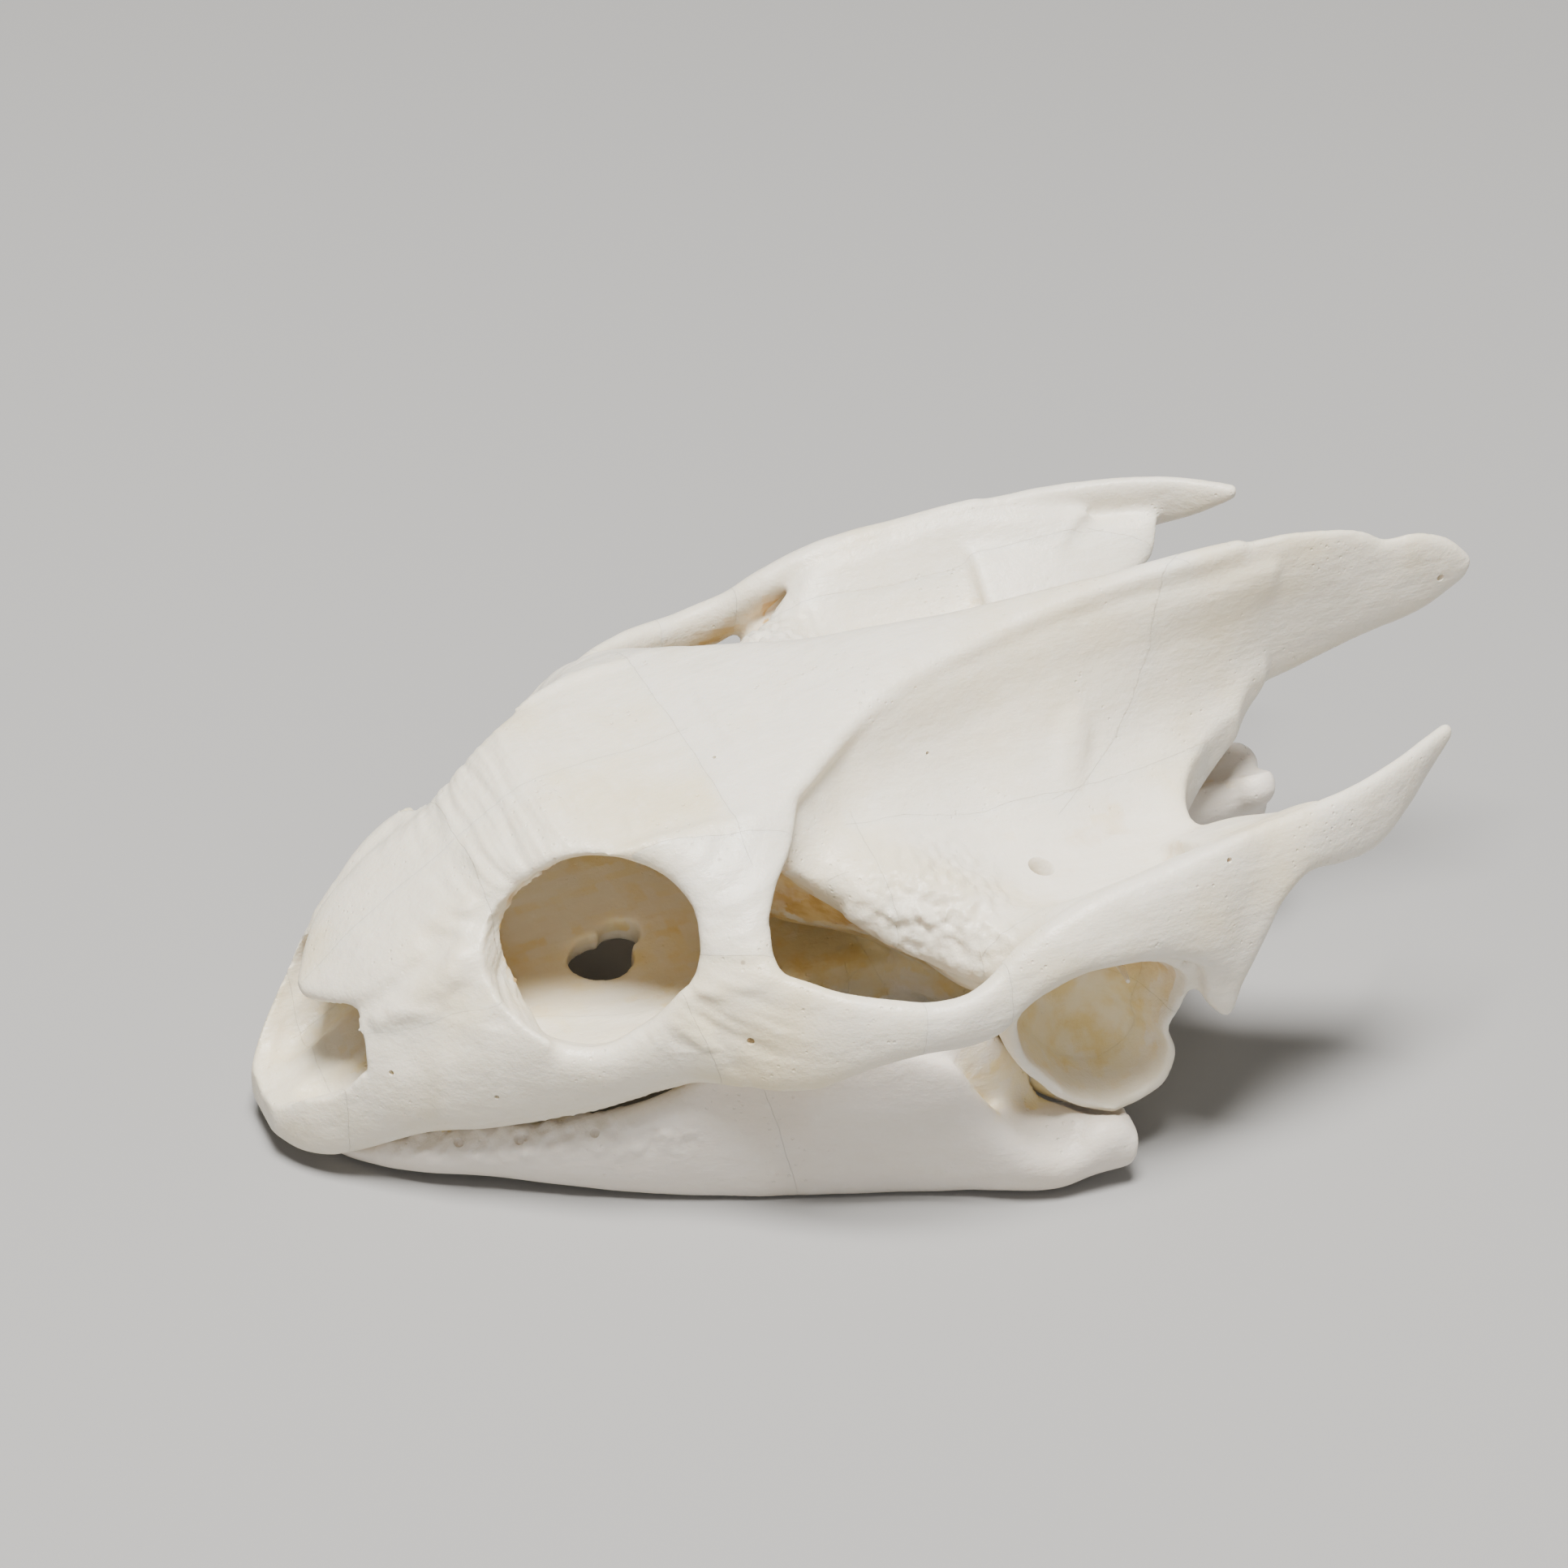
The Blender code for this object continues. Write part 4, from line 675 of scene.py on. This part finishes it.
def seen_at(tree, px, py):
    """Point and normal of the surface that a pixel of the 1932-pixel photograph shows."""
    way = CAMERA_TURN @ Vector(((px - 966) / 1932 / FOCAL, (966 - py) / 1932 / FOCAL, -1))
    hit, normal, index, distance = tree.ray_cast(CAMERA_AT, way.normalized())
    return hit, normal


def pitted(obj, pits):
    """Round openings sunk into the surface where the photograph shows them."""
    tree = BVHTree.FromObject(obj, bpy.context.evaluated_depsgraph_get())
    cutters = []
    for px, py, radius, depth in pits:
        hit, normal = seen_at(tree, px, py)
        if hit is None:
            continue
        a, b = hit + normal * 0.4, hit - normal * depth
        cutters.append(tube("pit", [(*a, radius * 1.25), (*hit, radius), (*b, radius * 0.6)], steps=6, around=20))
    return carved(obj, cutters)


def cloud(x, y, z):
    return noise.noise(Vector((x, y, z)))


def weathered(obj, lumps, jagged=False):
    """Bone relief: soft undulation, wrinkles spreading from the orbit, a porous patch behind the cheek window."""
    mesh = obj.data
    tree = BVHTree.FromObject(obj, bpy.context.evaluated_depsgraph_get())
    count = len(mesh.vertices)
    co, no = np.empty(count * 3), np.empty(count * 3)
    mesh.vertices.foreach_get("co", co)
    mesh.vertex_normals.foreach_get("vector", no)
    co, no = co.reshape(-1, 3), no.reshape(-1, 3)
    side = np.abs(co[:, 1])
    to_orbit = co - np.array([ORBIT_CENTRE[0], 0, ORBIT_CENTRE[2]])
    to_orbit[:, 1] = side - ORBIT_CENTRE[1]
    reach = np.linalg.norm(to_orbit, axis=1)
    angle = np.arctan2(to_orbit[:, 2], to_orbit[:, 0])
    fan = np.clip((reach - 6.0) / 2.5, 0, 1) * np.clip((17.0 - reach) / 6.0, 0, 1) * (co[:, 2] > 15)
    one_side = np.stack([co[:, 0], side, co[:, 2]], 1)
    rough = np.clip(1.3 - np.linalg.norm((one_side - POROUS_AT) / POROUS_REACH, axis=1), 0, 1)
    jaw_edge = np.abs(co[:, 2] - 2.2 - 0.17 * co[:, 0])
    comb = np.clip(1.4 - jaw_edge / 1.3, 0, 1) * (co[:, 0] > 6) * (co[:, 0] < 26) * (co[:, 2] < 7)
    step = np.zeros(count)
    for px, py, radius, height in lumps:
        hit, normal = seen_at(tree, px, py)
        if hit is not None:
            step += height * np.exp(-np.sum((co - np.array(hit)) ** 2, axis=1) / radius**2)
    for k in range(count):
        x, y, z = co[k]
        s = 0.11 * cloud(x * 0.14, y * 0.14, z * 0.14) + 0.05 * cloud(x * 0.42, y * 0.42, z * 0.42)
        if fan[k] > 0.01:
            s += 0.22 * fan[k] * cloud(angle[k] * 6.5, reach[k] * 0.16, 3.1 + 0.1 * side[k])
            s += 0.12 * fan[k] * cloud(angle[k] * 15.0, reach[k] * 0.3, 7.7)
        if rough[k] > 0.01:
            s += 0.42 * rough[k] * cloud(x * 1.15, y * 1.15, z * 1.15)
            s += 0.3 * rough[k] * cloud(x * 2.1, y * 2.1, z * 2.1)
        if comb[k] > 0.01 and jagged:
            s += 0.32 * comb[k] * cloud(x * 0.95, y * 0.95, z * 0.6) + 0.18 * comb[k] * cloud(x * 2.0, y * 2.0, z * 1.2)
        step[k] += s
    co += no * step[:, None]
    mesh.vertices.foreach_set("co", co.ravel())
    mesh.update()
    return obj


def shelter(obj):
    """How enclosed the vertices of a coarse copy are, 0 in the open to 1 deep inside, the mask of the painted shade in
    the hollows: search tree and values.
    """
    coarse = obj.copy()
    coarse.data = obj.data.copy()
    bpy.context.scene.collection.objects.link(coarse)
    grown(coarse, 0.9)
    tree = BVHTree.FromObject(coarse, bpy.context.evaluated_depsgraph_get())
    rays = []
    for k in range(22):
        z = 1 - (k + 0.5) / 22
        r = math.sqrt(1 - z * z)
        rays.append(Vector((r * math.cos(k * 2.399963), r * math.sin(k * 2.399963), z)))
    near = KDTree(len(coarse.data.vertices))
    values = []
    for v in coarse.data.vertices:
        turn = v.normal.to_track_quat("Z", "Y")
        start = v.co + v.normal * 0.15
        hits = sum(tree.ray_cast(start, turn @ ray, 15)[0] is not None for ray in rays)
        values.append(hits / len(rays))
        near.insert(v.co, v.index)
    near.balance()
    bpy.data.objects.remove(coarse)
    return near, values


def left_over(pieces, named):
    """Crumbs between crossing seams go to the bone that they touch."""
    trees = {name: BVHTree.FromObject(o, bpy.context.evaluated_depsgraph_get()) for name, o in named.items()}
    taken = {}
    for o in pieces:
        middle = sum((v.co for v in o.data.vertices), Vector()) / len(o.data.vertices)
        best = min(trees, key=lambda name: (trees[name].find_nearest(middle)[3] or 99))
        taken.setdefault(best, []).append(o)
    for name, crumbs in taken.items():
        whole = join(name, [named[name]] + crumbs)
        named[name] = whole


def bone_objects(body, bones, values):
    """The bones of a cut body, named, each with its sheltered places marked for the painted shade in the hollows."""
    pieces = loose_pieces(body)
    named = {}
    for name, (x, y, z) in bones:
        sides = [(name, y)] if not name.endswith("_left") else [(name, y), (name.replace("_left", "_right"), -y)]
        for full, place in sides:
            spots = [(x + dx, place + dy, z) for dx, dy in ((0, 0), (0.17, 0.11), (-0.13, 0.19), (0.05, -0.21))]
            best = next((o for p in spots for o in pieces if o not in named.values() and encloses(o, p)), None)
            assert best is not None, full
            named[full] = best
    left_over([o for o in pieces if o not in named.values()], named)
    near, amounts = values
    for name, o in named.items():
        o.name = "bone_" + name
        layer = o.data.attributes.new("shelter", "FLOAT", "POINT")
        layer.data.foreach_set("value", [amounts[near.find(v.co)[1]] for v in o.data.vertices])
    return named


class Wires:
    """Short way to build a node tree."""

    def __init__(self, tree):
        self.tree = tree

    def node(self, kind, inputs=(), **settings):
        n = self.tree.nodes.new(kind)
        for key, value in settings.items():
            setattr(n, key, value)
        for key, value in dict(inputs).items():
            if isinstance(value, bpy.types.NodeSocket):
                self.tree.links.new(value, n.inputs[key])
            else:
                n.inputs[key].default_value = value
        return n

    def math(self, operation, a, b=0.0, clamp=False):
        return self.node("ShaderNodeMath", {0: a, 1: b}, operation=operation, use_clamp=clamp).outputs[0]

    def cloud(self, place, scale, detail=3.0, rough=0.55):
        inputs = {"Vector": place, "Scale": scale, "Detail": detail, "Roughness": rough}
        return self.node("ShaderNodeTexNoise", inputs).outputs["Fac"]

    def span(self, value, low, high, to_low=0.0, to_high=1.0):
        inputs = {"Value": value, "From Min": low, "From Max": high, "To Min": to_low, "To Max": to_high}
        n = self.node("ShaderNodeMapRange", inputs)
        n.interpolation_type = "SMOOTHSTEP"
        return n.outputs["Result"]

    def mix(self, amount, a, b, mode="MIX"):
        n = self.node("ShaderNodeMix", {0: amount, 6: a, 7: b}, data_type="RGBA", blend_type=mode)
        return n.outputs[2]


def bone_finish(name, pale, tinge, roughness):
    """Dry bleached bone: ivory with a yellow cast; where it is sheltered, ochre that is partly the bone's own stain and
    partly painted shade, with the roofs of hollows browner than their floors as painted shade; grain and fine pores.
    """
    mat = bpy.data.materials.new(name)
    mat.use_nodes = True
    w = Wires(mat.node_tree)
    shader = mat.node_tree.nodes["Principled BSDF"]
    place = w.node("ShaderNodeTexCoord").outputs["Object"]
    mm = w.node("ShaderNodeVectorMath", {0: place, 3: 1000.0}, operation="SCALE").outputs["Vector"]
    inside = w.node("ShaderNodeAttribute", attribute_name="shelter").outputs["Fac"]

    broad = w.cloud(mm, 0.085, 3.0)
    fine = w.cloud(mm, 0.9, 5.0, 0.6)
    colour = w.mix(w.span(broad, 0.44, 0.74), (*pale, 1), (*tinge, 1))
    streak = w.node("ShaderNodeVectorMath", {0: mm, 1: (0.16, 0.9, 0.9)}, operation="MULTIPLY").outputs["Vector"]
    fibre = w.cloud(streak, 1.1, 4.0, 0.6)
    colour = w.mix(w.span(fibre, 0.35, 0.7, 0.0, 0.16), colour, (pale[0] * 0.86, pale[1] * 0.82, pale[2] * 0.72, 1))
    colour = w.mix(w.span(fine, 0.52, 0.78, 0.0, 0.22), colour, (0.93, 0.90, 0.83, 1))
    # Painted shade in the hollows: the floor tone is a hollow's lit floor and the roof tone its darker, browner shaded
    # roof, split by height.
    height = w.node("ShaderNodeSeparateXYZ", {0: mm}).outputs["Z"]
    lit_floor_ochre = w.mix(w.span(w.cloud(mm, 0.4, 4.0), 0.4, 0.65), (0.81, 0.71, 0.47, 1), (0.77, 0.61, 0.29, 1))
    shaded_roof_ochre = w.mix(w.span(w.cloud(streak, 0.7, 4.0), 0.35, 0.65), (0.58, 0.36, 0.12, 1), (0.76, 0.57, 0.26, 1))
    hollow_ochre_and_shade = w.mix(w.span(height, 11.5, 15.5), lit_floor_ochre, shaded_roof_ochre)
    # Mask of the painted shade: how sheltered the place is, with a little noise on its edge; the ochre is partly the
    # bone's own stain.
    edge = w.math("ADD", inside, w.span(w.cloud(mm, 0.3, 3.0), 0.3, 0.7, -0.06, 0.06))
    colour = w.mix(w.span(edge, 0.42, 0.68, 0.0, 1.0), colour, hollow_ochre_and_shade)

    cells = w.node("ShaderNodeTexVoronoi", {"Vector": mm, "Scale": 0.23, "Randomness": 1.0})
    few = w.math("GREATER_THAN", w.node("ShaderNodeSeparateColor", {0: cells.outputs["Color"]}).outputs[0], 0.80)
    speck = w.math("MULTIPLY", w.span(cells.outputs["Distance"], 0.020, 0.055, 1.0, 0.0), few)
    colour = w.mix(w.math("MULTIPLY", speck, 0.6), colour, (0.23, 0.17, 0.11, 1))
    w.tree.links.new(colour, shader.inputs["Base Color"])

    w.tree.links.new(w.span(fine, 0.3, 0.75, roughness - 0.07, roughness + 0.1), shader.inputs["Roughness"])
    shader.inputs["Specular IOR Level"].default_value = 0.42
    shader.inputs["Subsurface Weight"].default_value = 0.12
    shader.inputs["Subsurface Radius"].default_value = (1.0, 0.6, 0.35)
    shader.inputs["Subsurface Scale"].default_value = 0.0012

    pores = w.node("ShaderNodeTexVoronoi", {"Vector": mm, "Scale": 1.5, "Randomness": 1.0}).outputs["Distance"]
    dents = w.span(pores, 0.05, 0.22, -0.5, 0.0)
    where = w.span(w.cloud(mm, 0.16, 2.0), 0.5, 0.64)
    relief = w.math("ADD", w.math("MULTIPLY", fine, 0.8), w.math("MULTIPLY", dents, where))
    relief = w.math("ADD", relief, w.math("MULTIPLY", fibre, 0.7))
    relief = w.math("ADD", relief, w.math("MULTIPLY", w.cloud(mm, 3.2, 4.0, 0.6), 0.25))
    bump = w.node("ShaderNodeBump", {"Height": relief, "Strength": 0.75, "Distance": 0.00016})
    w.tree.links.new(bump.outputs["Normal"], shader.inputs["Normal"])
    return mat


FINISHES = {
    "bone_ivory": bone_finish("bone_ivory", (0.83, 0.775, 0.665), (0.78, 0.69, 0.51), 0.40),
    "bone_warm": bone_finish("bone_warm", (0.83, 0.765, 0.63), (0.78, 0.67, 0.45), 0.38),
    # The jaw's finish is a little darker and pinker than the cranium's: painted shade and a painted pink cast of
    # reflected light.
    "bone_jaw": bone_finish("bone_jaw", (0.80, 0.735, 0.65), (0.75, 0.665, 0.55), 0.42),
}
SLOTS = {part["node"]: part["material_slot"] for part in frame["record"]["subparts"]}

# The bones
skull = skull_body()
jaw = jaw_body(skull)
weathered(skull, LUMPS)
weathered(jaw, [], jagged=True)
both = join("both", [skull.copy(), jaw.copy()])
inside_of = shelter(both)
bpy.data.objects.remove(both)
pitted(skull, PITS)
pitted(jaw, JAW_PITS)
carved(skull, skull_seams())
carved(jaw, jaw_seams())
BONES = {**bone_objects(skull, CRANIUM_BONES, inside_of), **bone_objects(jaw, JAW_BONES, inside_of)}

RODS = {}
for side in (-1, 1):
    name = "stapes_left" if side < 0 else "stapes_right"
    rod = tube(name, side_points(STAPES, side), steps=24, around=16)
    rod.data.attributes.new("shelter", "FLOAT", "POINT")
    RODS[name] = rod

corners = np.array([v.co for o in BONES.values() for v in o.data.vertices])
low, high = corners.min(0), corners.max(0)
shift = Vector((-(low[0] + high[0]) / 2, 0, -low[2]))
place = Matrix.Diagonal((0.001, 0.001, 0.001, 1)) @ Matrix.Translation(shift)
for name, bone in {**BONES, **RODS}.items():
    slot = SLOTS.get(name, "bone_ivory")
    bone.data.transform(place)
    bone.data.materials.clear()
    bone.data.materials.append(FINISHES[slot])
    bone.data.shade_smooth()
    bone.data.set_sharp_from_angle(angle=0.8)
    if name in BONES:
        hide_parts(name)
    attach(bone, "root")


# Floor, light and camera
def plain(name, colour, roughness):
    mat = bpy.data.materials.new(name)
    mat.use_nodes = True
    shader = mat.node_tree.nodes["Principled BSDF"]
    shader.inputs["Base Color"].default_value = (*colour, 1)
    shader.inputs["Roughness"].default_value = roughness
    return mat


floor_mesh = bpy.data.meshes.new("floor")
floor_mesh.from_pydata([(-3, -3, 0), (3, -3, 0), (3, 3, 0), (-3, 3, 0)], [], [(0, 1, 2, 3)])
floor = bpy.data.objects.new("floor", floor_mesh)
floor_mesh.materials.append(plain("floor", (0.33, 0.325, 0.32), 0.9))
bpy.context.scene.collection.objects.link(floor)


def lamp(name, at, aim, size, watts, colour):
    light = bpy.data.lights.new(name, "AREA")
    light.size = size
    light.energy = watts
    light.color = colour
    obj = bpy.data.objects.new(name, light)
    back = Vector(at) - Vector(aim)
    obj.matrix_world = Matrix.Translation(at) @ back.to_track_quat("Z", "Y").to_matrix().to_4x4()
    bpy.context.scene.collection.objects.link(obj)


lamp("overhead", (-0.07, -0.08, 0.60), (0.0, 0.0, 0.015), 0.20, 10.0, (1.0, 0.985, 0.955))
lamp("front", (-0.30, -0.55, 0.26), (0.0, 0.0, 0.015), 0.45, 1.0, (1.0, 0.985, 0.97))
lamp("side", (0.55, -0.25, 0.30), (0.0, 0.0, 0.015), 0.40, 0.4, (0.98, 0.99, 1.0))

world = bpy.data.worlds.new("studio")
world.use_nodes = True
world.node_tree.nodes["Background"].inputs[0].default_value = (0.9, 0.92, 0.95, 1)
world.node_tree.nodes["Background"].inputs[1].default_value = 0.11
bpy.context.scene.world = world

camera_data = bpy.data.cameras.new("camera")
camera_data.sensor_width = 36
camera_data.lens = FOCAL * 36
camera_data.clip_start = 0.01
camera_data.clip_end = 20
camera = bpy.data.objects.new("camera", camera_data)
camera.matrix_world = Matrix.Translation((CAMERA_AT + shift) / 1000) @ CAMERA_TURN.to_4x4()
bpy.context.scene.collection.objects.link(camera)
bpy.context.scene.camera = camera
